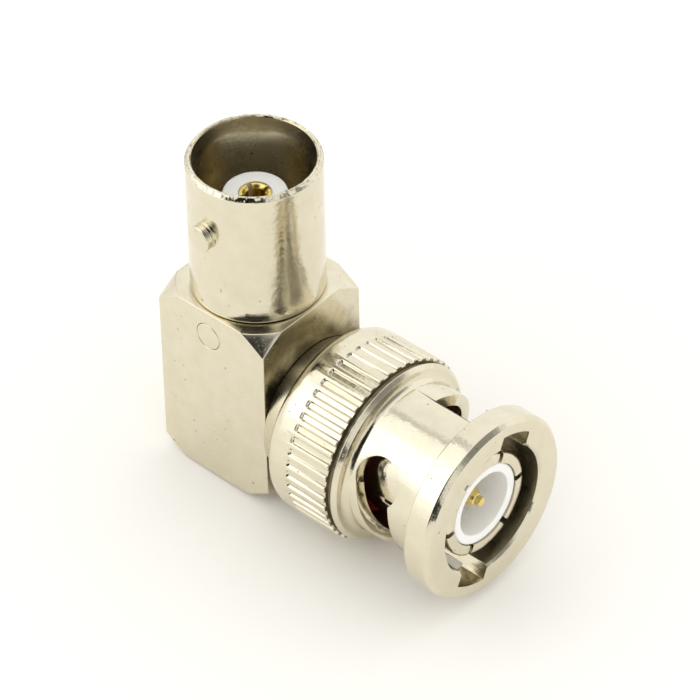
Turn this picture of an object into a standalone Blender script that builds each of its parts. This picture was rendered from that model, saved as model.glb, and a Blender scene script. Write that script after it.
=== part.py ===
"""Right-angle coaxial adapter with bayonet locks: a jack on top of a square block, a plug at its side.

Metres, +Z up. The origin is the centre of the block's base, straight under the jack's axis.
The jack opens upwards along +Z and the plug points along +X. Plug angles are in degrees from +Z
towards +Y, seen from the front of the plug.
"""
import math

import bmesh
import bpy
from mathutils import Matrix, Vector

# Block: square bar with a 45 degree cone turned on each end, so that only its corners are cut
BLOCK_MARGIN = 0.000205
BLOCK_HEIGHT = 0.0152
BLOCK_CORNER_STEP = 0.00082
BLOCK_EDGE = 0.00013
PLUG_AXIS_BELOW_TOP = 0.00865
BORE_BELOW_PLUG_AXIS = 0.0019

# Jack barrel
BARREL_RADIUS = 0.004825
BARREL_HEIGHT = 0.01125
BARREL_WALL = 0.000665
BARREL_MOUTH_CHAMFER = 0.00026
BARREL_RIM_CHAMFER = 0.0002
BARREL_FLOOR_BELOW_RIM = 0.0086
BARREL_FOOT_CHAMFER = 0.0001
SPIGOT_STEP = 0.000505
SPIGOT_LENGTH = 0.0033
STUD_RADIUS = 0.00102
STUD_HEIGHT = 0.000705
STUD_BELOW_RIM = 0.00425
STUD_CHAMFER = 0.00012
STUD_ANGLE = -93.0

# Dowel that locks the barrel's spigot, flush with the block's -Y face
DOWEL_RADIUS = 0.00105
DOWEL_LENGTH = 0.0015
DOWEL_BELOW_TOP = 0.00215
DOWEL_X = -0.00025

# Jack insulator and contact
JACK_FACE_BELOW_RIM = 0.00325
JACK_INSULATOR_RADIUS = 0.0023
JACK_INSULATOR_ABOVE_PLUG_AXIS = 0.00175
JACK_CONTACT_RADIUS = 0.00117
JACK_CONTACT_HOLE_RADIUS = 0.00068
JACK_CONTACT_HOLE_DEPTH = 0.005
JACK_CONTACT_SLOT = 0.00032
JACK_CONTACT_SLOT_DEPTH = 0.0038
JACK_CONTACT_HEAD_LENGTH = 0.0062
JACK_CONTACT_COUNTERSINK = 0.00022
JACK_CONTACT_SHAFT_RADIUS = 0.0008
JACK_CONTACT_FOOT_LENGTH = 0.0014
JACK_CONTACT_SLOTS = 4
JACK_CONTACT_SLOT_ANGLE = 70.6

# Plug shell: collar on the block, neck for the nut, groove for the snap ring, slotted fingers
COLLAR_STEP = 0.00113
COLLAR_LENGTH = 0.00145
COLLAR_CHAMFER = 0.00012
SHELL_SPIGOT_STEP = 0.00015
SHELL_SPIGOT_LENGTH = 0.0022
SHELL_WALL = 0.00093
GROOVE_DEPTH = 0.00037
FINGER_STEP = 0.00008
FINGER_TIP_TAPER = 0.00019
FINGER_TIP_ROUND = 0.00035
FINGER_TIP = 0.01617
FINGER_ROOT = 0.0078
FINGER_SLOT = 0.0004
FINGER_SLOT_LENGTH = 0.0058
FINGER_SLOTS = 6
FINGER_SLOT_ANGLE = 26.0

# Plug insulator and pin
PLUG_BEAD_LENGTH = 0.0082
PLUG_SLEEVE_WALL = 0.00074
PLUG_SLEEVE_RECESS = 0.00012
PLUG_SLEEVE_CHAMFER = 0.00015
PIN_BODY_RADIUS = 0.001
PIN_SHANK_RADIUS = 0.00068
PIN_TIP_RADIUS = 0.00036
PIN_TIP_LENGTH = 0.0009
PIN_TIP_BELOW_FINGERS = 0.00035
PIN_CONE_LENGTH = 0.0012
PIN_BODY_PROUD_OF_BEAD = 0.0003
PIN_TAIL_RADIUS = 0.0005

# Coupling nut
NUT_REAR_GAP = 0.00012
NUT_LENGTH = 0.01532
COUPLING_CLEARANCE = 0.000105
RING_SPACE = 0.00078
NUT_WALL = 0.00087
KNURL_STEP = 0.00135
NUT_REAR_ROUND = 0.0012
NUT_LIP_LENGTH = 0.0018
KNURL_LENGTH = 0.00605
KNURL_CHAMFER = 0.00025
FLUTE_COUNT = 48
FLUTE_WIDTH = 0.00054
FLUTE_DEPTH = 0.00019
FLUTE_START = 0.0023
RING_STEP = 0.0011
RING_LENGTH = 0.0002
RING_FACE_WIDTH = 0.00055
NECK_COVE_LENGTH = 0.0006
FLANGE_STEP = 0.00132
FLANGE_LENGTH = 0.00205
FLANGE_FRONT_CHAMFER_SHARE = 0.16
FLANGE_REAR_CHAMFER_SHARE = 0.09
NUT_MOUTH_CHAMFER = 0.00032
ENTRY_WIDTH = 0.00295
ENTRY_DEPTH_SHARE = 0.502
ENTRY_ANGLE = 24.5
ENTRY_OVERRUN = 0.00028
TRACK_ENTRY_WIDTH = 0.00235
TRACK_END_WIDTH = 0.00295
TRACK_SWEEP = 90.5
TRACK_ADVANCE = 0.00199
DETENT_RADIUS = 0.00184
DETENT_BEHIND_FRONT = 0.00614
TRACKS = 2

# Rings inside the nut, from its rear lip forwards
THRUST_WASHER_THICKNESS = 0.0003
WAVE_WASHER_HEIGHT = 0.0013
WAVE_WASHER_THICKNESS = 0.0002
WAVE_COUNT = 3
SNAP_RING_WIDTH = 0.0007
SNAP_RING_GAP = 0.0014
GASKET_LENGTH = 0.00205

# Clearances
PRESS_CLEARANCE = 0.00002
FACE_GAP = 0.00003
RUNNING_CLEARANCE = 0.0001
CUT_MARGIN = 0.0005

# Facets
ROUND_STEPS = 48
SMALL_STEPS = 32
NUT_STEPS = 2 * FLUTE_COUNT
COVE_STEPS = 3
REAR_ROUND_STEPS = 5
FLUTE_STEPS = 8
DETENT_STEPS = 24
TRACK_STEPS = 24
ENTRY_STEPS = 7
SHARP_ANGLE = math.radians(28)

# Widths that follow from the barrel's radius
HALF = BARREL_RADIUS + BLOCK_MARGIN
BLOCK_WIDTH = 2 * HALF
BLOCK_END_RADIUS = HALF + BLOCK_CORNER_STEP
BARREL_BORE_RADIUS = BARREL_RADIUS - BARREL_WALL
BARREL_MOUTH_RADIUS = BARREL_BORE_RADIUS + BARREL_MOUTH_CHAMFER
SPIGOT_RADIUS = BARREL_RADIUS - SPIGOT_STEP
STUD_REACH = BARREL_RADIUS + STUD_HEIGHT

# Radii of the plug. Its nut slips over a barrel like this jack's, and the shell and rings fill it
NUT_BORE_RADIUS = BARREL_RADIUS + COUPLING_CLEARANCE
SHELL_NECK_RADIUS = NUT_BORE_RADIUS - RING_SPACE
SHELL_SPIGOT_RADIUS = SHELL_NECK_RADIUS - SHELL_SPIGOT_STEP
SHELL_BORE_RADIUS = SHELL_NECK_RADIUS - SHELL_WALL
PLUG_SLEEVE_BORE_RADIUS = SHELL_BORE_RADIUS - PLUG_SLEEVE_WALL
COLLAR_RADIUS = SHELL_NECK_RADIUS + COLLAR_STEP
GROOVE_RADIUS = SHELL_NECK_RADIUS - GROOVE_DEPTH
FINGER_RADIUS = SHELL_NECK_RADIUS - FINGER_STEP
FINGER_TIP_RADIUS = FINGER_RADIUS - FINGER_TIP_TAPER
NUT_NECK_RADIUS = NUT_BORE_RADIUS + NUT_WALL
NUT_RADIUS = NUT_NECK_RADIUS + KNURL_STEP
RING_RADIUS = NUT_NECK_RADIUS + RING_STEP
FLANGE_RADIUS = NUT_NECK_RADIUS + FLANGE_STEP

# Heights and places that follow from the sizes above
PLUG_Z = BLOCK_HEIGHT - PLUG_AXIS_BELOW_TOP
RIM_Z = BLOCK_HEIGHT + BARREL_HEIGHT
FLOOR_Z = RIM_Z - BARREL_FLOOR_BELOW_RIM
STUD_Z = RIM_Z - STUD_BELOW_RIM
JACK_FACE_Z = RIM_Z - JACK_FACE_BELOW_RIM
JACK_INSULATOR_Z = PLUG_Z + JACK_INSULATOR_ABOVE_PLUG_AXIS
COLLAR_X = HALF + COLLAR_LENGTH
NUT_REAR_X = COLLAR_X + NUT_REAR_GAP
LIP_X = NUT_REAR_X + NUT_LIP_LENGTH
THRUST_X = LIP_X + FACE_GAP
WAVE_X = THRUST_X + THRUST_WASHER_THICKNESS + FACE_GAP
SNAP_X = WAVE_X + WAVE_WASHER_HEIGHT + FACE_GAP
GASKET_X = SNAP_X + SNAP_RING_WIDTH + 2 * FACE_GAP
FINGER_ROOT_X = HALF + FINGER_ROOT
FINGER_TIP_X = HALF + FINGER_TIP
BEAD_X = HALF + PLUG_BEAD_LENGTH
SLEEVE_X = FINGER_TIP_X - PLUG_SLEEVE_RECESS
PIN_TIP_X = FINGER_TIP_X - PIN_TIP_BELOW_FINGERS
SPIGOT_X = HALF - SHELL_SPIGOT_LENGTH
NUT_FRONT_X = NUT_REAR_X + NUT_LENGTH
DETENT_X = NUT_FRONT_X - DETENT_BEHIND_FRONT
TRACK_END_REAR_X = DETENT_X - DETENT_RADIUS
TRACK_ENTRY_REAR_X = TRACK_END_REAR_X + TRACK_ADVANCE
PLUG_INSULATOR_RADIUS = SHELL_BORE_RADIUS - PRESS_CLEARANCE
RING_OUTER_RADIUS = NUT_BORE_RADIUS - RUNNING_CLEARANCE
RING_INNER_RADIUS = SHELL_NECK_RADIUS + RUNNING_CLEARANCE

# Plug pieces are modelled along their own +Z, and this turns that onto the plug's axis
PLUG_FRAME = Matrix.Translation((0, 0, PLUG_Z)) @ Matrix.Rotation(math.radians(90), 4, "Y")

NICKEL = (0.80, 0.77, 0.69, 1)
GOLD = (0.83, 0.64, 0.27, 1)
PTFE = (0.90, 0.90, 0.89, 1)
SILICONE = (0.36, 0.03, 0.02, 1)
BRONZE = (0.60, 0.48, 0.33, 1)


def clear_scene():
    """Removes whatever objects the file starts with."""
    for obj in list(bpy.data.objects):
        bpy.data.objects.remove(obj, do_unlink=True)


def new_collection(name):
    """A collection of its own in the scene."""
    collection = bpy.data.collections.new(name)
    bpy.context.scene.collection.children.link(collection)
    return collection


def new_object(name, mesh, frame, collection):
    """An object that holds the mesh and stands in the given frame."""
    obj = bpy.data.objects.new(name, mesh)
    obj.matrix_world = frame
    collection.objects.link(obj)
    return obj


def mesh_from(bm, name):
    """Closes a bmesh with its faces pointing out and returns it as a mesh."""
    bmesh.ops.recalc_face_normals(bm, faces=bm.faces)
    mesh = bpy.data.meshes.new(name)
    bm.to_mesh(mesh)
    bm.free()
    return mesh


def arc(centre, radius, start, end, steps):
    """Points (radius, height) on an arc of a profile, from one angle to the other in degrees."""
    points = []
    for step in range(steps + 1):
        angle = math.radians(start + (end - start) * step / steps)
        points.append((centre[0] + radius * math.cos(angle), centre[1] + radius * math.sin(angle)))
    return points


def turned(name, profile, frame, collection, steps=ROUND_STEPS):
    """A lathe piece: a closed outline of (radius, height), down its outer side, turned by Screw."""
    mesh = bpy.data.meshes.new(name)
    corners = [(radius, 0, height) for radius, height in profile]
    on_axis = profile[0][0] == 0 and profile[-1][0] == 0
    edges = [(i, i + 1) for i in range(len(corners) - 1)]
    if not on_axis:
        edges.append((len(corners) - 1, 0))
    mesh.from_pydata(corners, edges, [])
    obj = new_object(name, mesh, frame, collection)
    screw = obj.modifiers.new("turn", "SCREW")
    screw.steps = steps
    screw.render_steps = steps
    screw.use_merge_vertices = True
    screw.merge_threshold = 0.000001
    screw.use_smooth_shade = True
    return obj


def as_cutter(obj):
    """Shows a cutter as a wire and keeps it out of the render."""
    obj.display_type = "WIRE"
    obj.hide_render = True
    return obj


def cut(obj, cutter, operation="DIFFERENCE"):
    """Adds an exact Boolean to a piece."""
    boolean = obj.modifiers.new(cutter.name, "BOOLEAN")
    boolean.operation = operation
    boolean.solver = "EXACT"
    boolean.object = as_cutter(cutter)


def radial_boxes(name, count, first_angle, size, centre_radius, centre_height, frame, collection):
    """Boxes set round an axis, each size (radial, across, along) and turned to face outwards."""
    bm = bmesh.new()
    for index in range(count):
        angle = math.radians(first_angle + 360 * index / count)
        place = (
            Matrix.Rotation(angle, 4, "Z")
            @ Matrix.Translation((centre_radius, 0, centre_height))
            @ Matrix.Diagonal((*size, 1))
        )
        bmesh.ops.create_cube(bm, size=1, matrix=place)
    return new_object(name, mesh_from(bm, name), frame, collection)


def radial_cylinders(name, count, first_angle, radius, inner, outer, height, frame, collection, steps):
    """Cylinders that stand out from an axis like spokes, from the inner to the outer radius."""
    bm = bmesh.new()
    for index in range(count):
        angle = math.radians(first_angle + 360 * index / count)
        place = (
            Matrix.Rotation(angle, 4, "Z")
            @ Matrix.Translation(((inner + outer) / 2, 0, height))
            @ Matrix.Rotation(math.radians(90), 4, "Y")
        )
        bmesh.ops.create_cone(
            bm,
            cap_ends=True,
            segments=steps,
            radius1=radius,
            radius2=radius,
            depth=outer - inner,
            matrix=place,
        )
    return new_object(name, mesh_from(bm, name), frame, collection)


def plug_angle(degrees):
    """Turns a plug angle, from +Z towards +Y, into the angle about the plug pieces' own axis."""
    return 180 - degrees


def finish(obj, colour, roughness, metallic):
    """Bakes the modifiers into the mesh, marks its sharp edges and gives the piece its material."""
    depsgraph = bpy.context.evaluated_depsgraph_get()
    obj.data = bpy.data.meshes.new_from_object(obj.evaluated_get(depsgraph))
    obj.modifiers.clear()
    obj.data.shade_smooth()
    obj.data.set_sharp_from_angle(angle=SHARP_ANGLE)
    material = bpy.data.materials.new(obj.name)
    material.use_nodes = True
    shader = material.node_tree.nodes["Principled BSDF"]
    shader.inputs["Base Color"].default_value = colour
    shader.inputs["Roughness"].default_value = roughness
    shader.inputs["Metallic"].default_value = metallic
    obj.data.materials.clear()
    obj.data.materials.append(material)


def body_block(parts, cutters):
    """Square block with coned ends, bored from above for the jack and from +X for the plug."""
    bm = bmesh.new()
    size = Matrix.Diagonal((BLOCK_WIDTH, BLOCK_WIDTH, BLOCK_HEIGHT, 1))
    bmesh.ops.create_cube(bm, size=1, matrix=Matrix.Translation((0, 0, BLOCK_HEIGHT / 2)) @ size)
    block = new_object("body_block", mesh_from(bm, "body_block"), Matrix(), parts)
    edge = block.modifiers.new("broken_edges", "BEVEL")
    edge.width = BLOCK_EDGE
    edge.segments = 2
    edge.use_clamp_overlap = False
    reach = HALF * math.sqrt(2) + CUT_MARGIN
    drop = reach - BLOCK_END_RADIUS
    cone_profile = [
        (0, BLOCK_HEIGHT),
        (BLOCK_END_RADIUS, BLOCK_HEIGHT),
        (reach, BLOCK_HEIGHT - drop),
        (reach, drop),
        (BLOCK_END_RADIUS, 0),
        (0, 0),
    ]
    cones = turned("block_end_cones", cone_profile, Matrix(), cutters)
    cut(block, cones, "INTERSECT")
    counterbore = SPIGOT_RADIUS + PRESS_CLEARANCE
    bore = JACK_INSULATOR_RADIUS + PRESS_CLEARANCE
    shoulder_z = BLOCK_HEIGHT - SPIGOT_LENGTH - FACE_GAP
    jack_profile = [
        (0, BLOCK_HEIGHT + CUT_MARGIN),
        (counterbore, BLOCK_HEIGHT + CUT_MARGIN),
        (counterbore, shoulder_z),
        (bore, shoulder_z),
        (bore, PLUG_Z - BORE_BELOW_PLUG_AXIS),
        (0, PLUG_Z - BORE_BELOW_PLUG_AXIS),
    ]
    cut(block, turned("jack_bore", jack_profile, Matrix(), cutters))
    plug_bore = SHELL_SPIGOT_RADIUS + PRESS_CLEARANCE
    plug_profile = [
        (0, HALF + CUT_MARGIN),
        (plug_bore, HALF + CUT_MARGIN),
        (plug_bore, SPIGOT_X - FACE_GAP),
        (PIN_BODY_RADIUS + RUNNING_CLEARANCE, SPIGOT_X - FACE_GAP),
        (PIN_BODY_RADIUS + RUNNING_CLEARANCE, 0),
        (0, 0),
    ]
    cut(block, turned("plug_bore", plug_profile, PLUG_FRAME, cutters))
    cut(block, dowel_hole("block_dowel_hole", cutters))
    return block


def dowel_frame():
    """Frame whose +Z runs out of the block's -Y face through the dowel's centre."""
    place = Matrix.Translation((DOWEL_X, -HALF, BLOCK_HEIGHT - DOWEL_BELOW_TOP))
    return place @ Matrix.Rotation(math.radians(90), 4, "X")


def dowel_hole(name, cutters):
    """Cutter for the dowel's hole, through the block's wall and into the spigot."""
    radius = DOWEL_RADIUS + PRESS_CLEARANCE
    depth = -DOWEL_LENGTH - FACE_GAP
    profile = [(0, CUT_MARGIN), (radius, CUT_MARGIN), (radius, depth), (0, depth)]
    return turned(name, profile, dowel_frame(), cutters, SMALL_STEPS)


def barrel_dowel(parts):
    """Short pin, flush with the block's face, that stops the barrel from turning."""
    profile = [(0, 0), (DOWEL_RADIUS, 0), (DOWEL_RADIUS, -DOWEL_LENGTH), (0, -DOWEL_LENGTH)]
    return turned("barrel_dowel", profile, dowel_frame(), parts, SMALL_STEPS)


def jack_barrel(parts, cutters):
    """Turned barrel with its spigot in the block and two bayonet studs near the rim."""
    foot_z = BLOCK_HEIGHT + FACE_GAP
    spigot_z = BLOCK_HEIGHT - SPIGOT_LENGTH
    floor_bore = JACK_INSULATOR_RADIUS + PRESS_CLEARANCE
    profile = [
        (BARREL_MOUTH_RADIUS, RIM_Z),
        (BARREL_RADIUS - BARREL_RIM_CHAMFER, RIM_Z),
        (BARREL_RADIUS, RIM_Z - BARREL_RIM_CHAMFER),
        (BARREL_RADIUS, foot_z + BARREL_FOOT_CHAMFER),
        (BARREL_RADIUS - BARREL_FOOT_CHAMFER, foot_z),
        (SPIGOT_RADIUS, foot_z),
        (SPIGOT_RADIUS, spigot_z),
        (floor_bore, spigot_z),
        (floor_bore, FLOOR_Z),
        (BARREL_BORE_RADIUS, FLOOR_Z),
        (BARREL_BORE_RADIUS, RIM_Z - BARREL_MOUTH_CHAMFER),
    ]
    barrel = turned("jack_barrel", profile, Matrix(), parts)
    root = (BARREL_RADIUS + BARREL_BORE_RADIUS) / 2
    tip_start = STUD_REACH - STUD_CHAMFER
    bm = bmesh.new()
    for angle in (STUD_ANGLE, STUD_ANGLE + 180):
        turn = Matrix.Rotation(math.radians(angle), 4, "Z") @ Matrix.Translation((0, 0, STUD_Z))
        point = turn @ Matrix.Rotation(math.radians(90), 4, "Y")
        rod = bmesh.ops.create_cone(
            bm,
            cap_ends=True,
            segments=SMALL_STEPS,
            radius1=STUD_RADIUS,
            radius2=STUD_RADIUS,
            depth=STUD_REACH - root,
            matrix=point @ Matrix.Translation((0, 0, (STUD_REACH + root) / 2)),
        )
        axis_point = point.translation
        direction = (point.to_3x3() @ Vector((0, 0, 1))).normalized()
        tip = [v for v in rod["verts"] if (v.co - axis_point).dot(direction) > tip_start]
        edges = {e for v in tip for e in v.link_edges if all(end in tip for end in e.verts)}
        bmesh.ops.bevel(bm, geom=list(edges), offset=STUD_CHAMFER, segments=1, affect="EDGES")
    studs = new_object("bayonet_studs", mesh_from(bm, "bayonet_studs"), Matrix(), cutters)
    cut(barrel, studs, "UNION")
    cut(barrel, dowel_hole("barrel_dowel_hole", cutters))
    return barrel


def jack_insulator(parts):
    """PTFE rod that carries the socket contact down the middle of the jack."""
    head = JACK_CONTACT_RADIUS + PRESS_CLEARANCE
    shaft = JACK_CONTACT_SHAFT_RADIUS + PRESS_CLEARANCE
    step_z = JACK_FACE_Z - JACK_CONTACT_HEAD_LENGTH - FACE_GAP
    profile = [
        (head, JACK_FACE_Z),
        (JACK_INSULATOR_RADIUS, JACK_FACE_Z),
        (JACK_INSULATOR_RADIUS, JACK_INSULATOR_Z),
        (shaft, JACK_INSULATOR_Z),
        (shaft, step_z),
        (head, step_z),
    ]
    return turned("jack_insulator", profile, Matrix(), parts, SMALL_STEPS)


def jack_contact(parts, cutters):
    """Gilt socket contact with a slotted head, and a foot drilled across for the plug pin's tail."""
    head_z = JACK_FACE_Z - JACK_CONTACT_HEAD_LENGTH
    foot_top = JACK_INSULATOR_Z - FACE_GAP
    foot_z = PLUG_Z - JACK_CONTACT_FOOT_LENGTH
    hole_z = JACK_FACE_Z - JACK_CONTACT_HOLE_DEPTH
    countersunk = JACK_CONTACT_HOLE_RADIUS + JACK_CONTACT_COUNTERSINK
    profile = [
        (countersunk, JACK_FACE_Z),
        (JACK_CONTACT_RADIUS, JACK_FACE_Z),
        (JACK_CONTACT_RADIUS, head_z),
        (JACK_CONTACT_SHAFT_RADIUS, head_z),
        (JACK_CONTACT_SHAFT_RADIUS, foot_top),
        (JACK_CONTACT_RADIUS, foot_top),
        (JACK_CONTACT_RADIUS, foot_z),
        (0, foot_z),
        (0, hole_z),
        (JACK_CONTACT_HOLE_RADIUS, hole_z),
        (JACK_CONTACT_HOLE_RADIUS, JACK_FACE_Z - JACK_CONTACT_COUNTERSINK),
    ]
    contact = turned("jack_contact", profile, Matrix(), parts, SMALL_STEPS)
    wall = JACK_CONTACT_RADIUS - JACK_CONTACT_HOLE_RADIUS
    slots = radial_boxes(
        "contact_slots",
        JACK_CONTACT_SLOTS,
        JACK_CONTACT_SLOT_ANGLE,
        (wall + JACK_CONTACT_SLOT, JACK_CONTACT_SLOT, 2 * JACK_CONTACT_SLOT_DEPTH),
        JACK_CONTACT_HOLE_RADIUS + wall / 2,
        JACK_FACE_Z,
        Matrix(),
        cutters,
    )
    cut(contact, slots)
    cross = PIN_TAIL_RADIUS + PRESS_CLEARANCE
    reach = JACK_CONTACT_RADIUS + CUT_MARGIN
    cross_profile = [(0, reach), (cross, reach), (cross, -reach), (0, -reach)]
    cut(contact, turned("tail_hole", cross_profile, PLUG_FRAME, cutters, SMALL_STEPS))
    return contact


def plug_shell(parts, cutters):
    """Outer contact of the plug: spigot, collar, neck, snap ring groove and slotted fingers."""
    groove_rear = SNAP_X - FACE_GAP
    groove_front = SNAP_X + SNAP_RING_WIDTH + FACE_GAP
    collar_rear = HALF + FACE_GAP
    profile = [
        (SHELL_BORE_RADIUS, FINGER_TIP_X),
        (FINGER_TIP_RADIUS, FINGER_TIP_X),
        (FINGER_RADIUS, FINGER_TIP_X - FINGER_TIP_ROUND),
        (FINGER_RADIUS, FINGER_ROOT_X),
        (SHELL_NECK_RADIUS, FINGER_ROOT_X),
        (SHELL_NECK_RADIUS, groove_front),
        (GROOVE_RADIUS, groove_front),
        (GROOVE_RADIUS, groove_rear),
        (SHELL_NECK_RADIUS, groove_rear),
        (SHELL_NECK_RADIUS, COLLAR_X),
        (COLLAR_RADIUS - COLLAR_CHAMFER, COLLAR_X),
        (COLLAR_RADIUS, COLLAR_X - COLLAR_CHAMFER),
        (COLLAR_RADIUS, collar_rear),
        (SHELL_SPIGOT_RADIUS, collar_rear),
        (SHELL_SPIGOT_RADIUS, SPIGOT_X),
        (SHELL_BORE_RADIUS, SPIGOT_X),
    ]
    shell = turned("plug_shell", profile, PLUG_FRAME, parts)
    wall = FINGER_RADIUS - SHELL_BORE_RADIUS
    slots = radial_boxes(
        "finger_slots",
        FINGER_SLOTS,
        plug_angle(FINGER_SLOT_ANGLE),
        (wall + 2 * FINGER_SLOT, FINGER_SLOT, 2 * FINGER_SLOT_LENGTH),
        SHELL_BORE_RADIUS + wall / 2,
        FINGER_TIP_X,
        PLUG_FRAME,
        cutters,
    )
    cut(shell, slots)
    return shell


def plug_insulator(parts):
    """PTFE bead round the pin, with a sleeve that lines the fingers."""
    hole = PIN_BODY_RADIUS + PRESS_CLEARANCE
    outer = PLUG_INSULATOR_RADIUS
    profile = [
        (PLUG_SLEEVE_BORE_RADIUS + PLUG_SLEEVE_CHAMFER, SLEEVE_X),
        (outer - PLUG_SLEEVE_CHAMFER, SLEEVE_X),
        (outer, SLEEVE_X - PLUG_SLEEVE_CHAMFER),
        (outer, SPIGOT_X),
        (hole, SPIGOT_X),
        (hole, BEAD_X),
        (PLUG_SLEEVE_BORE_RADIUS, BEAD_X),
        (PLUG_SLEEVE_BORE_RADIUS, SLEEVE_X - PLUG_SLEEVE_CHAMFER),
    ]
    return turned("plug_insulator", profile, PLUG_FRAME, parts, SMALL_STEPS)


def plug_pin(parts):
    """Gilt centre pin, from its tail in the jack contact's foot to the stepped tip."""
    body_front = BEAD_X + PIN_BODY_PROUD_OF_BEAD
    body_rear = JACK_CONTACT_RADIUS + 4 * FACE_GAP
    tail = -JACK_CONTACT_RADIUS
    profile = [
        (0, PIN_TIP_X),
        (PIN_TIP_RADIUS, PIN_TIP_X),
        (PIN_SHANK_RADIUS, PIN_TIP_X - PIN_TIP_LENGTH),
        (PIN_SHANK_RADIUS, body_front + PIN_CONE_LENGTH),
        (PIN_BODY_RADIUS, body_front),
        (PIN_BODY_RADIUS, body_rear),
        (PIN_TAIL_RADIUS, body_rear),
        (PIN_TAIL_RADIUS, tail),
        (0, tail),
    ]
    return turned("plug_pin", profile, PLUG_FRAME, parts, SMALL_STEPS)


def nut_profile():
    """Outline of the coupling nut: flange, neck, cove, ring, knurl, rounded rear and inner lip."""
    knurl_front = NUT_REAR_X + KNURL_LENGTH
    ring_front = knurl_front + RING_LENGTH
    cove_top = RING_RADIUS - RING_FACE_WIDTH
    cove_depth = cove_top - NUT_NECK_RADIUS
    front_chamfer = FLANGE_FRONT_CHAMFER_SHARE * (FLANGE_RADIUS - NUT_BORE_RADIUS)
    rear_chamfer = FLANGE_REAR_CHAMFER_SHARE * (FLANGE_RADIUS - NUT_NECK_RADIUS)
    cove_front = ring_front + NECK_COVE_LENGTH
    flange_rear = NUT_FRONT_X - FLANGE_LENGTH
    lip_bore = RING_INNER_RADIUS
    round_centre = (NUT_RADIUS - NUT_REAR_ROUND, NUT_REAR_X + NUT_REAR_ROUND)
    rear_round = arc(round_centre, NUT_REAR_ROUND, 0, -90, REAR_ROUND_STEPS)
    cove = []
    for step in range(COVE_STEPS + 1):
        turn = math.radians(90 * step / COVE_STEPS)
        radius = cove_top - cove_depth * math.cos(turn)
        cove.append((radius, cove_front - NECK_COVE_LENGTH * math.sin(turn)))
    return [
        (NUT_BORE_RADIUS + NUT_MOUTH_CHAMFER, NUT_FRONT_X),
        (FLANGE_RADIUS - front_chamfer, NUT_FRONT_X),
        (FLANGE_RADIUS, NUT_FRONT_X - front_chamfer),
        (FLANGE_RADIUS, flange_rear + rear_chamfer),
        (FLANGE_RADIUS - rear_chamfer, flange_rear),
        (NUT_NECK_RADIUS, flange_rear),
        *cove,
        (RING_RADIUS, ring_front),
        (RING_RADIUS, knurl_front),
        (NUT_RADIUS, knurl_front - KNURL_CHAMFER),
        *rear_round,
        (lip_bore, NUT_REAR_X),
        (lip_bore, LIP_X),
        (NUT_BORE_RADIUS, LIP_X),
        (NUT_BORE_RADIUS, NUT_FRONT_X - NUT_MOUTH_CHAMFER),
    ]


def flute_cutter(cutters):
    """Round-ended slots for the knurl, each a cylinder stretched forwards past the knurl."""
    length = KNURL_LENGTH + RING_LENGTH - FLUTE_START
    bm = bmesh.new()
    for index in range(FLUTE_COUNT):
        turn = Matrix.Rotation(2 * math.pi * (index + 0.5) / FLUTE_COUNT, 4, "Z")
        place = Matrix.Translation((NUT_RADIUS, 0, NUT_REAR_X + FLUTE_START + FLUTE_WIDTH / 2))
        slot = bmesh.ops.create_cone(
            bm,
            cap_ends=True,
            segments=FLUTE_STEPS,
            radius1=FLUTE_WIDTH / 2,
            radius2=FLUTE_WIDTH / 2,
            depth=2 * FLUTE_DEPTH,
            matrix=place @ Matrix.Rotation(math.radians(90), 4, "Y"),
        )
        front = [v for v in slot["verts"] if v.co.z > place.translation.z + FLUTE_WIDTH / 100]
        bmesh.ops.translate(bm, verts=front, vec=(0, 0, length))
        bmesh.ops.transform(bm, matrix=turn, verts=slot["verts"])
    return new_object("flutes", mesh_from(bm, "flutes"), PLUG_FRAME, cutters)


def entry_cutter(cutters):
    """Two notches through the flange, with straight sides and a floor that is an arc about the axis."""
    inner = NUT_BORE_RADIUS - CUT_MARGIN
    outer = NUT_BORE_RADIUS + ENTRY_DEPTH_SHARE * (FLANGE_RADIUS - NUT_BORE_RADIUS)
    rear = TRACK_ENTRY_REAR_X - ENTRY_OVERRUN
    front = NUT_FRONT_X + CUT_MARGIN
    half = ENTRY_WIDTH / 2
    spread = math.asin(half / outer)
    outline = [(inner, half), (inner, -half)]
    for step in range(ENTRY_STEPS + 1):
        angle = spread * (2 * step / ENTRY_STEPS - 1)
        outline.append((outer * math.cos(angle), outer * math.sin(angle)))
    bm = bmesh.new()
    for index in range(TRACKS):
        turn = Matrix.Rotation(math.radians(plug_angle(ENTRY_ANGLE + 360 * index / TRACKS)), 4, "Z")
        ends = [[bm.verts.new(turn @ Vector((x, y, z))) for x, y in outline] for z in (rear, front)]
        for side in range(len(outline)):
            bm.faces.new((ends[0][side - 1], ends[0][side], ends[1][side], ends[1][side - 1]))
        for end in ends:
            bm.faces.new(end)
    return new_object("entry_notches", mesh_from(bm, "entry_notches"), PLUG_FRAME, cutters)


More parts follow.
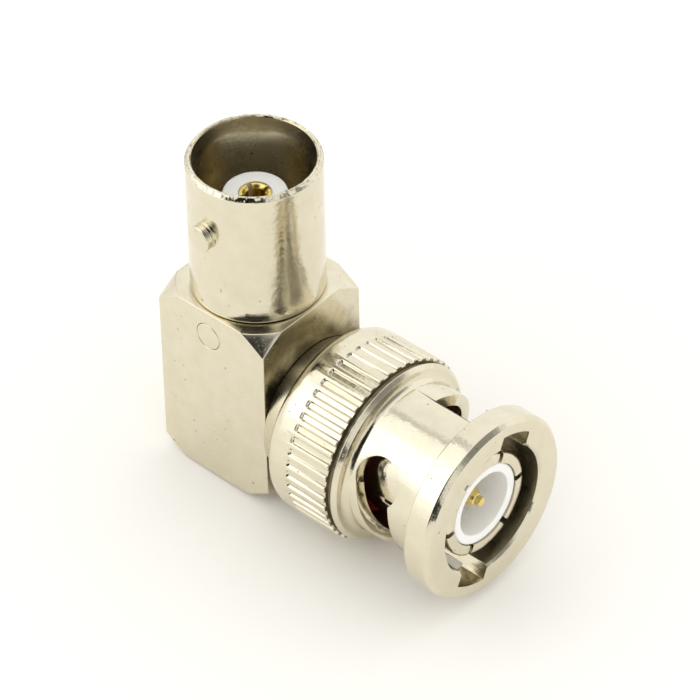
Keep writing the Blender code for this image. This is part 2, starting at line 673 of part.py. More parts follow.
def track_cutter(cutters):
    """Two helical slots through the neck, lofted from the entry to a wider end that meets the detent."""
    inner = NUT_BORE_RADIUS - CUT_MARGIN
    outer = NUT_NECK_RADIUS + CUT_MARGIN
    bm = bmesh.new()
    for index in range(TRACKS):
        sections = []
        for step in range(TRACK_STEPS + 1):
            share = step / TRACK_STEPS
            rear = TRACK_ENTRY_REAR_X - TRACK_ADVANCE * share
            front = rear + TRACK_ENTRY_WIDTH + (TRACK_END_WIDTH - TRACK_ENTRY_WIDTH) * share
            angle = plug_angle(ENTRY_ANGLE + TRACK_SWEEP * share + 360 * index / TRACKS)
            turn = Matrix.Rotation(math.radians(angle), 4, "Z")
            corners = [(inner, 0, rear), (outer, 0, rear), (outer, 0, front), (inner, 0, front)]
            sections.append([bm.verts.new(turn @ Vector(corner)) for corner in corners])
        for near, far in zip(sections, sections[1:]):
            for side in range(4):
                bm.faces.new((near[side - 1], near[side], far[side], far[side - 1]))
        bm.faces.new(sections[0])
        bm.faces.new(sections[-1])
    return new_object("tracks", mesh_from(bm, "tracks"), PLUG_FRAME, cutters)


def coupling_nut(parts, cutters):
    """Knurled bayonet nut with two entry notches, two helical tracks and two round detents."""
    nut = turned("coupling_nut", nut_profile(), PLUG_FRAME, parts, NUT_STEPS)
    cut(nut, flute_cutter(cutters))
    cut(nut, entry_cutter(cutters))
    cut(nut, track_cutter(cutters))
    detents = radial_cylinders(
        "detents",
        TRACKS,
        plug_angle(ENTRY_ANGLE + TRACK_SWEEP),
        DETENT_RADIUS,
        NUT_BORE_RADIUS - CUT_MARGIN,
        NUT_RADIUS + CUT_MARGIN,
        DETENT_X,
        PLUG_FRAME,
        cutters,
        DETENT_STEPS,
    )
    cut(nut, detents)
    return nut


def thrust_washer(parts):
    """Flat washer in front of the nut's lip."""
    front = THRUST_X + THRUST_WASHER_THICKNESS
    profile = [
        (RING_INNER_RADIUS, front),
        (RING_OUTER_RADIUS, front),
        (RING_OUTER_RADIUS, THRUST_X),
        (RING_INNER_RADIUS, THRUST_X),
    ]
    return turned("thrust_washer", profile, PLUG_FRAME, parts)


def wave_washer(parts):
    """Wavy spring washer that pushes the nut back against the collar."""
    middle = WAVE_X + WAVE_WASHER_HEIGHT / 2
    swing = (WAVE_WASHER_HEIGHT - WAVE_WASHER_THICKNESS) / 2
    bm = bmesh.new()
    rim = [bm.verts.new((radius, 0, 0)) for radius in (RING_INNER_RADIUS, RING_OUTER_RADIUS)]
    edge = bm.edges.new(rim)
    bmesh.ops.spin(
        bm,
        geom=[edge, *rim],
        cent=(0, 0, 0),
        axis=(0, 0, 1),
        angle=2 * math.pi,
        steps=ROUND_STEPS,
        use_merge=True,
    )
    bmesh.ops.remove_doubles(bm, verts=bm.verts, dist=0.000001)
    for vert in bm.verts:
        turn = math.atan2(vert.co.y, vert.co.x)
        vert.co.z = middle + swing * math.cos(WAVE_COUNT * turn)
    washer = new_object("wave_washer", mesh_from(bm, "wave_washer"), PLUG_FRAME, parts)
    sheet = washer.modifiers.new("sheet", "SOLIDIFY")
    sheet.thickness = WAVE_WASHER_THICKNESS
    sheet.offset = 0
    return washer


def snap_ring(parts, cutters):
    """Split ring in the shell's groove that keeps the nut and its washers on the shell."""
    inner = GROOVE_RADIUS + RUNNING_CLEARANCE
    front = SNAP_X + SNAP_RING_WIDTH
    profile = [
        (inner, front),
        (RING_OUTER_RADIUS, front),
        (RING_OUTER_RADIUS, SNAP_X),
        (inner, SNAP_X),
    ]
    ring = turned("snap_ring", profile, PLUG_FRAME, parts)
    width = RING_OUTER_RADIUS - inner
    gap = radial_boxes(
        "snap_ring_gap",
        1,
        plug_angle(0),
        (width + 2 * CUT_MARGIN, SNAP_RING_GAP, SNAP_RING_WIDTH + 2 * CUT_MARGIN),
        inner + width / 2,
        SNAP_X + SNAP_RING_WIDTH / 2,
        PLUG_FRAME,
        cutters,
    )
    cut(ring, gap)
    return ring


def gasket(parts):
    """Red silicone ring that the mating jack's rim presses on."""
    inner = SHELL_NECK_RADIUS + PRESS_CLEARANCE
    front = GASKET_X + GASKET_LENGTH
    profile = [
        (inner, front),
        (RING_OUTER_RADIUS, front),
        (RING_OUTER_RADIUS, GASKET_X),
        (inner, GASKET_X),
    ]
    return turned("gasket", profile, PLUG_FRAME, parts)


def build():
    """Models every piece of the adapter."""
    clear_scene()
    parts = new_collection("coax_adapter")
    cutters = new_collection("cutters")
    plated = [
        body_block(parts, cutters),
        barrel_dowel(parts),
        jack_barrel(parts, cutters),
        plug_shell(parts, cutters),
        coupling_nut(parts, cutters),
    ]
    gilt = [jack_contact(parts, cutters), plug_pin(parts)]
    white = [jack_insulator(parts), plug_insulator(parts)]
    springs = [thrust_washer(parts), wave_washer(parts), snap_ring(parts, cutters)]
    red = [gasket(parts)]
    for pieces, colour, roughness, metallic in (
        (plated, NICKEL, 0.16, 1),
        (gilt, GOLD, 0.2, 1),
        (white, PTFE, 0.5, 0),
        (springs, BRONZE, 0.3, 1),
        (red, SILICONE, 0.55, 0),
    ):
        for piece in pieces:
            finish(piece, colour, roughness, metallic)


build()
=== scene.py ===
# %% [markdown]
# # A right-angle coaxial adapter, dressed for a product picture
# The adapter is made of turned and milled brass with a bright nickel plate, two gilt contacts and
# white PTFE. Almost all of its look comes from what the plate mirrors: a white tent, a pale floor
# and the dark place where the camera stands. So the lesson makes each turned piece with real
# rounded edges that can catch a highlight, and then spends its care on the plate and the light.

# %% Load the frame
import math
import random

import bmesh
import bpy
from mathutils import Matrix, Vector


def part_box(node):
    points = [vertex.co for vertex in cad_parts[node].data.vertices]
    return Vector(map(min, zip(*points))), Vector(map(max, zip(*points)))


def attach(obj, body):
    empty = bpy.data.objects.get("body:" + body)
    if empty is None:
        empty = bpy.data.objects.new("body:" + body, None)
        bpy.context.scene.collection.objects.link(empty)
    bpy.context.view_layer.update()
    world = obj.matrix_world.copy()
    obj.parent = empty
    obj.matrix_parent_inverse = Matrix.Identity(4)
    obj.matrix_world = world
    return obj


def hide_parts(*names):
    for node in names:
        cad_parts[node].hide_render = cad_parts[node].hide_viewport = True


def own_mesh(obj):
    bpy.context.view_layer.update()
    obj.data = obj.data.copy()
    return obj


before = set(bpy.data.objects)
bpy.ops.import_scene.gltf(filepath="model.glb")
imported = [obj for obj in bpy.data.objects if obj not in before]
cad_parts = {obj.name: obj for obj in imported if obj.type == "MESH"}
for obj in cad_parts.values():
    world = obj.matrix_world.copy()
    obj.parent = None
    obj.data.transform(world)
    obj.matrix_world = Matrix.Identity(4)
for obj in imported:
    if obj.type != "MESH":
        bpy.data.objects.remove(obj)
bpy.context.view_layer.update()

# %% [markdown]
# ## Sizes
# The frame knows where every solid stands, so the places of the pieces are read from it. The small
# sizes that it can't tell, such as a chamfer, are written where they are used, in millimetres. A fit
# is what a pressed piece is smaller than its hole, and a gap is what parts two faces that meet.
# Points and faces are picked by where they lie, give or take a touch.

# %% Read the places of the solids
MM = 0.001
BLOCK_LOW, BLOCK_HIGH = (Vector(corner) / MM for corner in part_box("body_block"))
_, BARREL_HIGH = (Vector(corner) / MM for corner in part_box("jack_barrel"))
NUT_LOW, NUT_HIGH = (Vector(corner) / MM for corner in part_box("coupling_nut"))
SHELL_LOW, SHELL_HIGH = (Vector(corner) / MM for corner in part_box("plug_shell"))
PIN_LOW, PIN_HIGH = (Vector(corner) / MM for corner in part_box("plug_pin"))
GASKET_LOW, GASKET_HIGH = (Vector(corner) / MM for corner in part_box("gasket"))
HALF = BLOCK_HIGH.x
TOP = BLOCK_HIGH.z
RIM = BARREL_HIGH.z
PLUG_Z = (NUT_LOW.z + NUT_HIGH.z) / 2
PLUG_FRAME = Matrix.Translation((0, 0, PLUG_Z * MM)) @ Matrix.Rotation(math.radians(90), 4, "Y")
FIT = 0.02
GAP = 0.03
TOUCH = 0.01
print(f"block {2 * HALF:.2f} mm wide and {TOP:.2f} mm tall, rim at {RIM:.2f}, plug axis at {PLUG_Z:.2f}")

# %% [markdown]
# ## The camera
# The picture was taken from well above and to the front right, with a long lens that keeps the
# edges of the block almost parallel. The angles and the distance were fitted to the block's
# corners and to the circles of the barrel and the nut.

# %% Place the camera
PICTURE_SIDE = 700
CAMERA_AIM = Vector((4, 0, 10))
CAMERA_DISTANCE = 339.6
CAMERA_AZIMUTH = 43.650
CAMERA_ELEVATION = 41.444
LOOK_AZIMUTH = 42.883
LOOK_ELEVATION = 41.343
CAMERA_ROLL = -1.206
FOCAL_PIXELS = 4803.8
SENSOR_WIDTH = 36


def direction(azimuth, elevation):
    """Unit vector towards a viewer at these angles in degrees. Azimuth 0 stands at -Y."""
    a, e = math.radians(azimuth), math.radians(elevation)
    return Vector((math.sin(a) * math.cos(e), -math.cos(a) * math.cos(e), math.sin(e)))


def place_camera():
    """A long lens above and to the front right of the adapter."""
    back = direction(LOOK_AZIMUTH, LOOK_ELEVATION)
    right = Vector((0, 0, 1)).cross(back).normalized()
    up = back.cross(right)
    axes = Matrix((right, up, back)).transposed() @ Matrix.Rotation(math.radians(CAMERA_ROLL), 3, "Z")
    data = bpy.data.cameras.new("camera")
    data.sensor_width = SENSOR_WIDTH
    data.lens = FOCAL_PIXELS * SENSOR_WIDTH / PICTURE_SIDE
    data.clip_start = 0.01
    camera = bpy.data.objects.new("camera", data)
    place = CAMERA_AIM + CAMERA_DISTANCE * direction(CAMERA_AZIMUTH, CAMERA_ELEVATION)
    camera.matrix_world = Matrix.Translation(place * MM) @ axes.to_4x4()
    bpy.context.scene.collection.objects.link(camera)
    bpy.context.scene.camera = camera
    return camera


print("lens", round(place_camera().data.lens, 1), "mm")

# %% [markdown]
# ## Making turned pieces
# Everything on the plug and the jack comes from a lathe. A drawing of such a piece is half of its
# section, with a small radius at each corner because a real edge is never sharp. One helper turns
# the corners of that drawing into arcs, and another spins the outline about its axis.

# %% Round the corners of an outline
ARC_STEPS = 5


def rounded(corners):
    """A closed outline of (radius, height) points, from corners of (radius, height, rounding)."""
    outline = []
    for index, (x, y, rounding) in enumerate(corners):
        corner = Vector((x, y))
        before = Vector(corners[index - 1][:2]) - corner
        after = Vector(corners[(index + 1) % len(corners)][:2]) - corner
        if rounding == 0:
            outline.append(corner)
            continue
        half = before.angle(after) / 2
        reach = rounding / math.tan(half)
        inwards = (before.normalized() + after.normalized()).normalized()
        centre = corner + inwards * rounding / math.sin(half)
        start = corner + before.normalized() * reach - centre
        end = corner + after.normalized() * reach - centre
        for step in range(ARC_STEPS + 1):
            outline.append(centre + rounding * start.slerp(end, step / ARC_STEPS))
    return outline


square = [(0, 0, 0.1), (1, 0, 0.1), (1, 1, 0.1), (0, 1, 0.1)]
print("a square with round corners has", len(rounded(square)), "points")

# %% Spin an outline on the lathe
TURN_STEPS = 192
ON_AXIS = 1e-6
pieces = bpy.data.collections.new("adapter_pieces")
tools = bpy.data.collections.new("cutting_tools")
bpy.context.scene.collection.children.link(pieces)
bpy.context.scene.collection.children.link(tools)


def new_piece(name, bm, place, collection=pieces):
    """Closes a mesh that was drawn in millimetres and stands it at its place in metres."""
    bmesh.ops.scale(bm, vec=(MM, MM, MM), verts=bm.verts)
    bmesh.ops.recalc_face_normals(bm, faces=bm.faces)
    mesh = bpy.data.meshes.new(name)
    bm.to_mesh(mesh)
    bm.free()
    mesh.shade_smooth()
    piece = bpy.data.objects.new(name, mesh)
    piece.matrix_world = place
    collection.objects.link(piece)
    return piece


def turned(name, corners, place, steps=TURN_STEPS, collection=pieces):
    """A lathe piece from the corners of its half section. Corners at radius 0 lie on the axis."""
    bm = bmesh.new()
    rings = []
    for radius, height in rounded(corners):
        if radius < ON_AXIS:
            rings.append([bm.verts.new((0, 0, height))])
            continue
        ring = []
        for step in range(steps):
            angle = 2 * math.pi * step / steps
            ring.append(bm.verts.new((radius * math.cos(angle), radius * math.sin(angle), height)))
        rings.append(ring)
    for near, far in zip(rings, rings[1:] + rings[:1]):
        for step in range(steps):
            turns = ((near, step), (near, step + 1), (far, step + 1), (far, step))
            loop = list(dict.fromkeys(ring[turn % len(ring)] for ring, turn in turns))
            if len(loop) > 2:
                bm.faces.new(loop)
    return new_piece(name, bm, place, collection)


print("one turn of the lathe has", TURN_STEPS, "steps")

# %% [markdown]
# ## Cutting them
# Slots, flutes and tracks are cut with Booleans, as the milling cutter cuts them. Afterwards every
# sharp edge that the cutter left is broken by a narrow bevel, because a polished edge shows as a
# fine bright line. A bevel can throw a point out where three cuts meet, so every point is held
# inside the blank.

# %% Cut with a tool and break the edges
EDGE_ANGLE = math.radians(38)
SLIVER = 0.006


def cut(piece, tool, operation="DIFFERENCE"):
    """Runs one exact Boolean on the piece and puts the tool out of sight."""
    boolean = piece.modifiers.new(tool.name, "BOOLEAN")
    boolean.operation = operation
    boolean.solver = "EXACT"
    boolean.object = tool
    bake(piece)
    bpy.data.objects.remove(tool, do_unlink=True)


def bake(piece):
    """Replaces the piece's mesh by what its modifiers make of it."""
    bpy.context.view_layer.update()
    depsgraph = bpy.context.evaluated_depsgraph_get()
    mesh = bpy.data.meshes.new_from_object(piece.evaluated_get(depsgraph))
    piece.modifiers.clear()
    piece.data = mesh


def break_edges(piece, width, segments=2):
    """Welds the tiniest edges, bevels the sharp ones by a width in millimetres, evens the shading."""
    low, high = tuple(piece.bound_box[0]), tuple(piece.bound_box[6])
    weld = piece.modifiers.new("weld", "WELD")
    weld.merge_threshold = SLIVER * MM
    bevel = piece.modifiers.new("broken_edges", "BEVEL")
    bevel.width = width * MM
    bevel.segments = segments
    bevel.limit_method = "ANGLE"
    bevel.angle_limit = EDGE_ANGLE
    bevel.use_clamp_overlap = False
    bake(piece)
    for vert in piece.data.vertices:
        vert.co = [min(max(value, least), most) for value, least, most in zip(vert.co, low, high)]
    even_shading(piece)


def even_shading(piece):
    """Keeps large faces flat to the eye and lets the small roundings carry the turn."""
    piece.data.shade_smooth()
    piece.data.set_sharp_from_angle(angle=EDGE_ANGLE)
    normals = piece.modifiers.new("even_shading", "WEIGHTED_NORMAL")
    normals.keep_sharp = True
    bake(piece)


print("edges sharper than", round(math.degrees(EDGE_ANGLE)), "degrees are broken")

# %% [markdown]
# ## Plain cutters
# Two kinds of cutter come back again and again: boxes that stand round an axis like spokes, for the
# slots of a contact, and a plain round drill.

# %% Make boxes round an axis, and a drill
OVERRUN = 1


def spokes(name, count, first_angle, size, centre_radius, centre_height, place):
    """Box cutters round an axis, each size (radial, across, along) in millimetres."""
    bm = bmesh.new()
    for index in range(count):
        turn = Matrix.Rotation(math.radians(first_angle + 360 * index / count), 4, "Z")
        shift = Matrix.Translation((centre_radius, 0, centre_height))
        bmesh.ops.create_cube(bm, size=1, matrix=turn @ shift @ Matrix.Diagonal((*size, 1)))
    return new_piece(name, bm, place, tools)


def drill(name, radius, top, floor, place, steps=TURN_STEPS):
    """A round cutter between two heights of its axis."""
    corners = [(0, top, 0), (radius, top, 0), (radius, floor, 0), (0, floor, 0)]
    return turned(name, corners, place, steps, tools)


def plug_angle(degrees):
    """Turns a plug angle, from +Z towards +Y, into the angle about the plug pieces' own axis."""
    return 180 - degrees


print("straight down the plug is", plug_angle(180), "degrees")

# %% [markdown]
# ## The block
# The body is a piece of square bar. Each end is turned to a 45 degree cone, which only reaches the
# corners, so every face ends in a shallow arch. A cube cut to the form of a double cone gives those
# arches exactly. Modelling them by hand as chamfers would make them straight.

# %% Make the block
END_RADIUS = 5.85
BAR_EDGE = 0.13
ARCH_EDGE = 0.05
SPIGOT_HOLE = 4.34
SPIGOT_DEPTH = 3.33
SHELL_HOLE = 4.02
SHELL_HOLE_DEPTH = 2.23
DOWEL_RADIUS = 1.05
DOWEL_X = -0.25
DOWEL_Z = TOP - 2.15
DOWEL_DEPTH = 1.5
DOWEL_STEPS = 64
CONE_REACH = 8
CONE_STEPS = 384


def make_block():
    """Square bar with coned ends and the holes for the barrel, the shell and the dowel."""
    bm = bmesh.new()
    size = Matrix.Diagonal((2 * HALF, 2 * HALF, TOP, 1))
    bmesh.ops.create_cube(bm, size=1, matrix=Matrix.Translation((0, 0, TOP / 2)) @ size)
    upright = [edge for edge in bm.edges if abs(edge.verts[0].co.z - edge.verts[1].co.z) > TOP / 2]
    bmesh.ops.bevel(bm, geom=upright, offset=BAR_EDGE, segments=3, profile=0.5, affect="EDGES")
    block = new_piece("block", bm, Matrix())
    drop = CONE_REACH - END_RADIUS
    cone = [(0, TOP, 0), (END_RADIUS, TOP, 0), (CONE_REACH, TOP - drop, 0)]
    cone += [(CONE_REACH, drop, 0), (END_RADIUS, 0, 0), (0, 0, 0)]
    cut(block, turned("end_cones", cone, Matrix(), CONE_STEPS, tools), "INTERSECT")
    cut(block, drill("spigot_hole", SPIGOT_HOLE, TOP + OVERRUN, TOP - SPIGOT_DEPTH, Matrix()))
    cut(block, drill("shell_hole", SHELL_HOLE, HALF + OVERRUN, HALF - SHELL_HOLE_DEPTH, PLUG_FRAME))
    cut(block, drill("dowel_hole", DOWEL_RADIUS + GAP, OVERRUN, -DOWEL_DEPTH, dowel_place(), DOWEL_STEPS))
    break_edges(block, ARCH_EDGE, 3)
    return block


def dowel_place():
    """Frame whose +Z runs out of the block's -Y face through the dowel's centre."""
    outwards = Matrix.Rotation(math.radians(90), 4, "X")
    return Matrix.Translation((DOWEL_X * MM, -HALF * MM, DOWEL_Z * MM)) @ outwards


block = make_block()
print("block", len(block.data.polygons), "faces")

# %% [markdown]
# ## The dowel
# A short pin holds the barrel. It was driven in and dressed flush, so all that shows is a circle.

# %% Make the dowel
DOWEL_EDGE = 0.05
dowel_foot = GAP - DOWEL_DEPTH
dowel_corners = [(0, 0, 0), (DOWEL_RADIUS, 0, DOWEL_EDGE), (DOWEL_RADIUS, dowel_foot, 0), (0, dowel_foot, 0)]
dowel = turned("dowel", dowel_corners, dowel_place(), DOWEL_STEPS)
even_shading(dowel)
print("dowel", len(dowel.data.polygons), "faces")

# %% [markdown]
# ## The jack's barrel
# A thin tube stands on the block, and its mouth widens in a long taper that guides a plug's fingers.
# Two studs near its rim are what a nut locks on. They are set into the tube, and the tool that set
# them left a faint ring round each. The ring is pressed into the mesh itself, so the tube gets many
# rows of faces there. The rim has small nicks, which a bump in the material couldn't give it,
# because they show against the dark bore.

# %% Size the barrel
BARREL_RADIUS = 4.825
BARREL_BORE = 4.16
LEAD_IN = 0.2
LEAD_IN_LENGTH = 1.2
MOUTH_CHAMFER = 0.1
RIM_BEVEL = 0.2
BEVEL_SLOPE = 1.4
BARREL_FLOOR = RIM - 8.6
BARREL_FLOOR_BORE = 2.32
SPIGOT_RADIUS = 4.32
FOOT = TOP + 0.06
STUD_RADIUS = 1.0
STUD_REACH = 5.53
STUD_Z = RIM - 4.25
STUD_ANGLE = -93.0
STUD_EDGE = 0.1
STUD_LAND = 0.04
STUD_STEPS = 64
STUD_GROOVES = 3
STUD_GROOVE_STEP = 0.15
STUD_GROOVE_DEPTH = 0.035
RING_RADIUS = 2.5
RING_WIDTH = 0.09
RING_DEPTH = 0.035
BARREL_ROWS = 90
ROWS_BELOW_RIM = 0.2
ROWS_ABOVE_FOOT = 0.3
BARREL_STEPS = 256
NICK = 0.02
NICKED_HEIGHT = 0.3
print(f"studs {2 * STUD_REACH:.2f} mm across, {RIM - STUD_Z:.2f} mm below the rim")

# %% Draw the tube and its studs


def barrel_corners():
    """Half section of the tube, from its tapered mouth over the rim and down to the spigot."""
    top = RIM - BEVEL_SLOPE * RIM_BEVEL
    first, last = top - ROWS_BELOW_RIM, FOOT + ROWS_ABOVE_FOOT
    rows = [(BARREL_RADIUS, first - (first - last) * row / BARREL_ROWS, 0) for row in range(BARREL_ROWS)]
    return [
        (BARREL_BORE + LEAD_IN, RIM - MOUTH_CHAMFER, 0.05),
        (BARREL_BORE + LEAD_IN + MOUTH_CHAMFER, RIM, 0.03),
        (BARREL_RADIUS - RIM_BEVEL, RIM, 0.05),
        (BARREL_RADIUS, top, 0.12),
        *rows,
        (BARREL_RADIUS, FOOT, 0.15),
        (SPIGOT_RADIUS, FOOT, 0),
        (SPIGOT_RADIUS, TOP - SPIGOT_DEPTH + GAP, 0),
        (BARREL_FLOOR_BORE, TOP - SPIGOT_DEPTH + GAP, 0),
        (BARREL_FLOOR_BORE, BARREL_FLOOR, 0.05),
        (BARREL_BORE, BARREL_FLOOR, 0.1),
        (BARREL_BORE, RIM - LEAD_IN_LENGTH, 1.5),
    ]


def stud_corners():
    """Half section of a stud, with the fine grooves that its turning tool left."""
    root = (BARREL_RADIUS + BARREL_BORE) / 2
    corners = [(0, STUD_REACH, 0), (STUD_RADIUS, STUD_REACH, STUD_EDGE)]
    for ring in range(STUD_GROOVES):
        crest = STUD_REACH - STUD_EDGE - STUD_LAND - ring * STUD_GROOVE_STEP
        floor = crest - STUD_GROOVE_STEP / 2
        corners += [(STUD_RADIUS, crest, 0), (STUD_RADIUS - STUD_GROOVE_DEPTH, floor, 0)]
    return corners + [(STUD_RADIUS, root, 0), (0, root, 0)]


print("a stud's section has", len(rounded(stud_corners())), "points")

# %% Make the barrel


def make_barrel():
    """Tube with a tapered mouth, a spigot, two studs and the faint ring round each stud."""
    barrel = turned("barrel", barrel_corners(), Matrix(), BARREL_STEPS)
    press_rings(barrel)
    for side, angle in (("near", STUD_ANGLE), ("far", STUD_ANGLE + 180)):
        turn = Matrix.Rotation(math.radians(angle), 4, "Z") @ Matrix.Translation((0, 0, STUD_Z * MM))
        place = turn @ Matrix.Rotation(math.radians(90), 4, "Y")
        cut(barrel, turned(f"{side}_stud", stud_corners(), place, STUD_STEPS, tools), "UNION")
    break_edges(barrel, 0.03)
    nick_rim(barrel)
    even_shading(barrel)
    return barrel


def press_rings(barrel):
    """Presses a shallow ring into the tube's outside round each stud."""
    for vert in barrel.data.vertices:
        x, y, z = vert.co / MM
        radius = math.hypot(x, y)
        if radius < BARREL_RADIUS - TOUCH:
            continue
        across = math.radians((math.degrees(math.atan2(y, x)) - STUD_ANGLE + 90) % 180 - 90) * BARREL_RADIUS
        away = math.hypot(across, z - STUD_Z)
        dent = RING_DEPTH * math.exp(-(((away - RING_RADIUS) / RING_WIDTH) ** 2))
        vert.co.x *= 1 - dent / radius
        vert.co.y *= 1 - dent / radius


def nick_rim(barrel):
    """Moves the points of the rim's outer edge a little, as knocks in a drum of other parts do."""
    chance = random.Random(7)
    low = RIM - NICKED_HEIGHT
    inner = BARREL_BORE + LEAD_IN + MOUTH_CHAMFER - TOUCH
    for vert in barrel.data.vertices:
        radius = math.hypot(vert.co.x, vert.co.y) / MM
        if vert.co.z / MM > low and radius > inner:
            vert.co.z -= abs(chance.gauss(0, NICK)) * MM
            vert.co.x *= 1 - abs(chance.gauss(0, NICK)) / radius
            vert.co.y *= 1 - abs(chance.gauss(0, NICK)) / radius


barrel = make_barrel()
print("barrel", len(barrel.data.polygons), "faces")

# %% [markdown]
# ## The jack's insulator and socket
# A white PTFE rod fills the middle of the jack. A gilt socket sits flush in its face, split by four
# slots so that it can grip a pin.

# %% Make the insulator and the socket
JACK_FACE = RIM - 3.25
JACK_INSULATOR_RADIUS = 2.3
JACK_INSULATOR_FOOT = PLUG_Z + 1.75
JACK_INSULATOR_STEPS = 128
SOCKET_RADIUS = 1.17
SOCKET_FOOT = PLUG_Z - 1.4
SOCKET_HOLE = 0.68
SOCKET_SINK = 0.22
SOCKET_DEPTH = 5.0
SOCKET_SLOT = 0.32
SOCKET_SLOT_DEPTH = 3.8
SOCKET_SLOT_ANGLE = 70.6
CONTACT_STEPS = 96


def make_jack_insulator():
    """PTFE rod with a hole for the socket."""
    hole = SOCKET_RADIUS + FIT
    corners = [
        (hole, JACK_FACE, 0.04),
        (JACK_INSULATOR_RADIUS, JACK_FACE, 0.12),
        (JACK_INSULATOR_RADIUS, JACK_INSULATOR_FOOT, 0.05),
        (hole, JACK_INSULATOR_FOOT, 0),
    ]
    insulator = turned("jack_dielectric", corners, Matrix(), JACK_INSULATOR_STEPS)
    even_shading(insulator)
    return insulator


def make_socket():
    """Gilt socket with a countersunk hole, four slots and a foot inside the block."""
    corners = [
        (SOCKET_HOLE + SOCKET_SINK, JACK_FACE, 0.03),
        (SOCKET_RADIUS, JACK_FACE, 0.05),
        (SOCKET_RADIUS, SOCKET_FOOT, 0.05),
        (0, SOCKET_FOOT, 0),
        (0, JACK_FACE - SOCKET_DEPTH, 0),
        (SOCKET_HOLE, JACK_FACE - SOCKET_DEPTH, 0),
        (SOCKET_HOLE, JACK_FACE - SOCKET_SINK, 0.03),
    ]
    socket = turned("socket", corners, Matrix(), CONTACT_STEPS)
    wall = SOCKET_RADIUS - SOCKET_HOLE
    size = (wall + SOCKET_SLOT, SOCKET_SLOT, 2 * SOCKET_SLOT_DEPTH)
    middle = SOCKET_HOLE + wall / 2
    cut(socket, spokes("socket_slots", 4, SOCKET_SLOT_ANGLE, size, middle, JACK_FACE, Matrix()))
    break_edges(socket, 0.02)
    return socket


jack_insulator = make_jack_insulator()
socket = make_socket()
print("socket", len(socket.data.polygons), "faces")

# %% [markdown]
# ## The plug's shell
# The outer contact is one turning: a collar against the block, a neck under the nut, and six
# fingers that spring inwards when they enter a jack. Their tips are rolled over slightly.

# %% Make the shell
COLLAR = HALF + 1.45
COLLAR_RADIUS = 5.28
NECK_RADIUS = 4.15
SHELL_BORE = 3.22
GROOVE_RADIUS = 3.78
GROOVE_REAR = 10.06
GROOVE_FRONT = 10.82
FINGER_RADIUS = 4.07
FINGER_TIP = SHELL_HIGH.x
FINGER_ROOT = HALF + 7.8
FINGER_BEVEL = 0.1
FINGER_SLOT = 0.4
FINGER_SLOT_LENGTH = 5.8
FINGER_SLOT_ANGLE = 26.0


def make_shell():
    """Collar, neck, ring groove and six slotted fingers."""
    corners = [
        (SHELL_BORE, FINGER_TIP, 0.06),
        (FINGER_RADIUS, FINGER_TIP, 0.3),
        (FINGER_RADIUS, FINGER_ROOT, 0),
        (NECK_RADIUS, FINGER_ROOT - FINGER_BEVEL, 0),
        (NECK_RADIUS, GROOVE_FRONT, 0),
        (GROOVE_RADIUS, GROOVE_FRONT, 0),
        (GROOVE_RADIUS, GROOVE_REAR, 0),
        (NECK_RADIUS, GROOVE_REAR, 0),
        (NECK_RADIUS, COLLAR, 0.1),
        (COLLAR_RADIUS, COLLAR, 0.1),
        (COLLAR_RADIUS, HALF + GAP, 0.05),
        (SHELL_HOLE - FIT, HALF + GAP, 0),
        (SHELL_HOLE - FIT, SHELL_LOW.x, 0),
        (SHELL_BORE, SHELL_LOW.x, 0),
    ]
    shell = turned("shell", corners, PLUG_FRAME)
    wall = FINGER_RADIUS - SHELL_BORE
    size = (wall + 2 * FINGER_SLOT, FINGER_SLOT, 2 * FINGER_SLOT_LENGTH)
    middle = SHELL_BORE + wall / 2
    first = plug_angle(FINGER_SLOT_ANGLE)
    cut(shell, spokes("finger_slots", 6, first, size, middle, FINGER_TIP, PLUG_FRAME))
    break_edges(shell, 0.035)
    return shell


shell = make_shell()
print("shell", len(shell.data.polygons), "faces")

# %% [markdown]
# ## The plug's insulator and pin
# A PTFE sleeve lines the fingers, and the gilt pin stands in the bead at its back. The pin's tip is
# turned down in two steps.

# %% Make the insulator and the pin
SLEEVE_RADIUS = 3.2
SLEEVE_BORE = 2.48
SLEEVE_FRONT = FINGER_TIP - 0.12
BEAD = HALF + 8.2
PIN_BODY = 1.0
PIN_BODY_REAR = 1.29
PIN_TAIL = 0.5
PIN_SHANK = 0.68
PIN_TIP = 0.36
PIN_TIP_END = 0.45
PIN_STEP = 0.1
PIN_STEP_END = 0.5
PIN_TAPER_END = 0.95
PIN_CONE = 1.2
PIN_PROUD = 0.3


def make_sleeve():
    """PTFE bead with a thin sleeve that ends just behind the fingers' tips."""
    corners = [
        (SLEEVE_BORE, SLEEVE_FRONT, 0.12),
        (SLEEVE_RADIUS, SLEEVE_FRONT, 0.12),
        (SLEEVE_RADIUS, SHELL_LOW.x, 0),
        (PIN_BODY + FIT, SHELL_LOW.x, 0),
        (PIN_BODY + FIT, BEAD, 0.05),
        (SLEEVE_BORE, BEAD, 0.3),
    ]
    sleeve = turned("plug_dielectric", corners, PLUG_FRAME)
    even_shading(sleeve)
    return sleeve


def make_pin():
    """Gilt pin with a thick root, a slim shank and a stepped tip."""
    front = BEAD + PIN_PROUD
    tip = PIN_HIGH.x
    corners = [
        (0, tip, 0),
        (PIN_TIP, tip, 0.1),
        (PIN_TIP, tip - PIN_TIP_END, 0.04),
        (PIN_TIP + PIN_STEP, tip - PIN_STEP_END, 0.04),
        (PIN_SHANK, tip - PIN_TAPER_END, 0.2),
        (PIN_SHANK, front + PIN_CONE, 0.3),
        (PIN_BODY, front, 0.05),
        (PIN_BODY, PIN_BODY_REAR, 0),
        (PIN_TAIL, PIN_BODY_REAR, 0),
        (PIN_TAIL, PIN_LOW.x, 0.05),
        (0, PIN_LOW.x, 0),
    ]
    pin = turned("pin", corners, PLUG_FRAME, CONTACT_STEPS)
    even_shading(pin)
    return pin


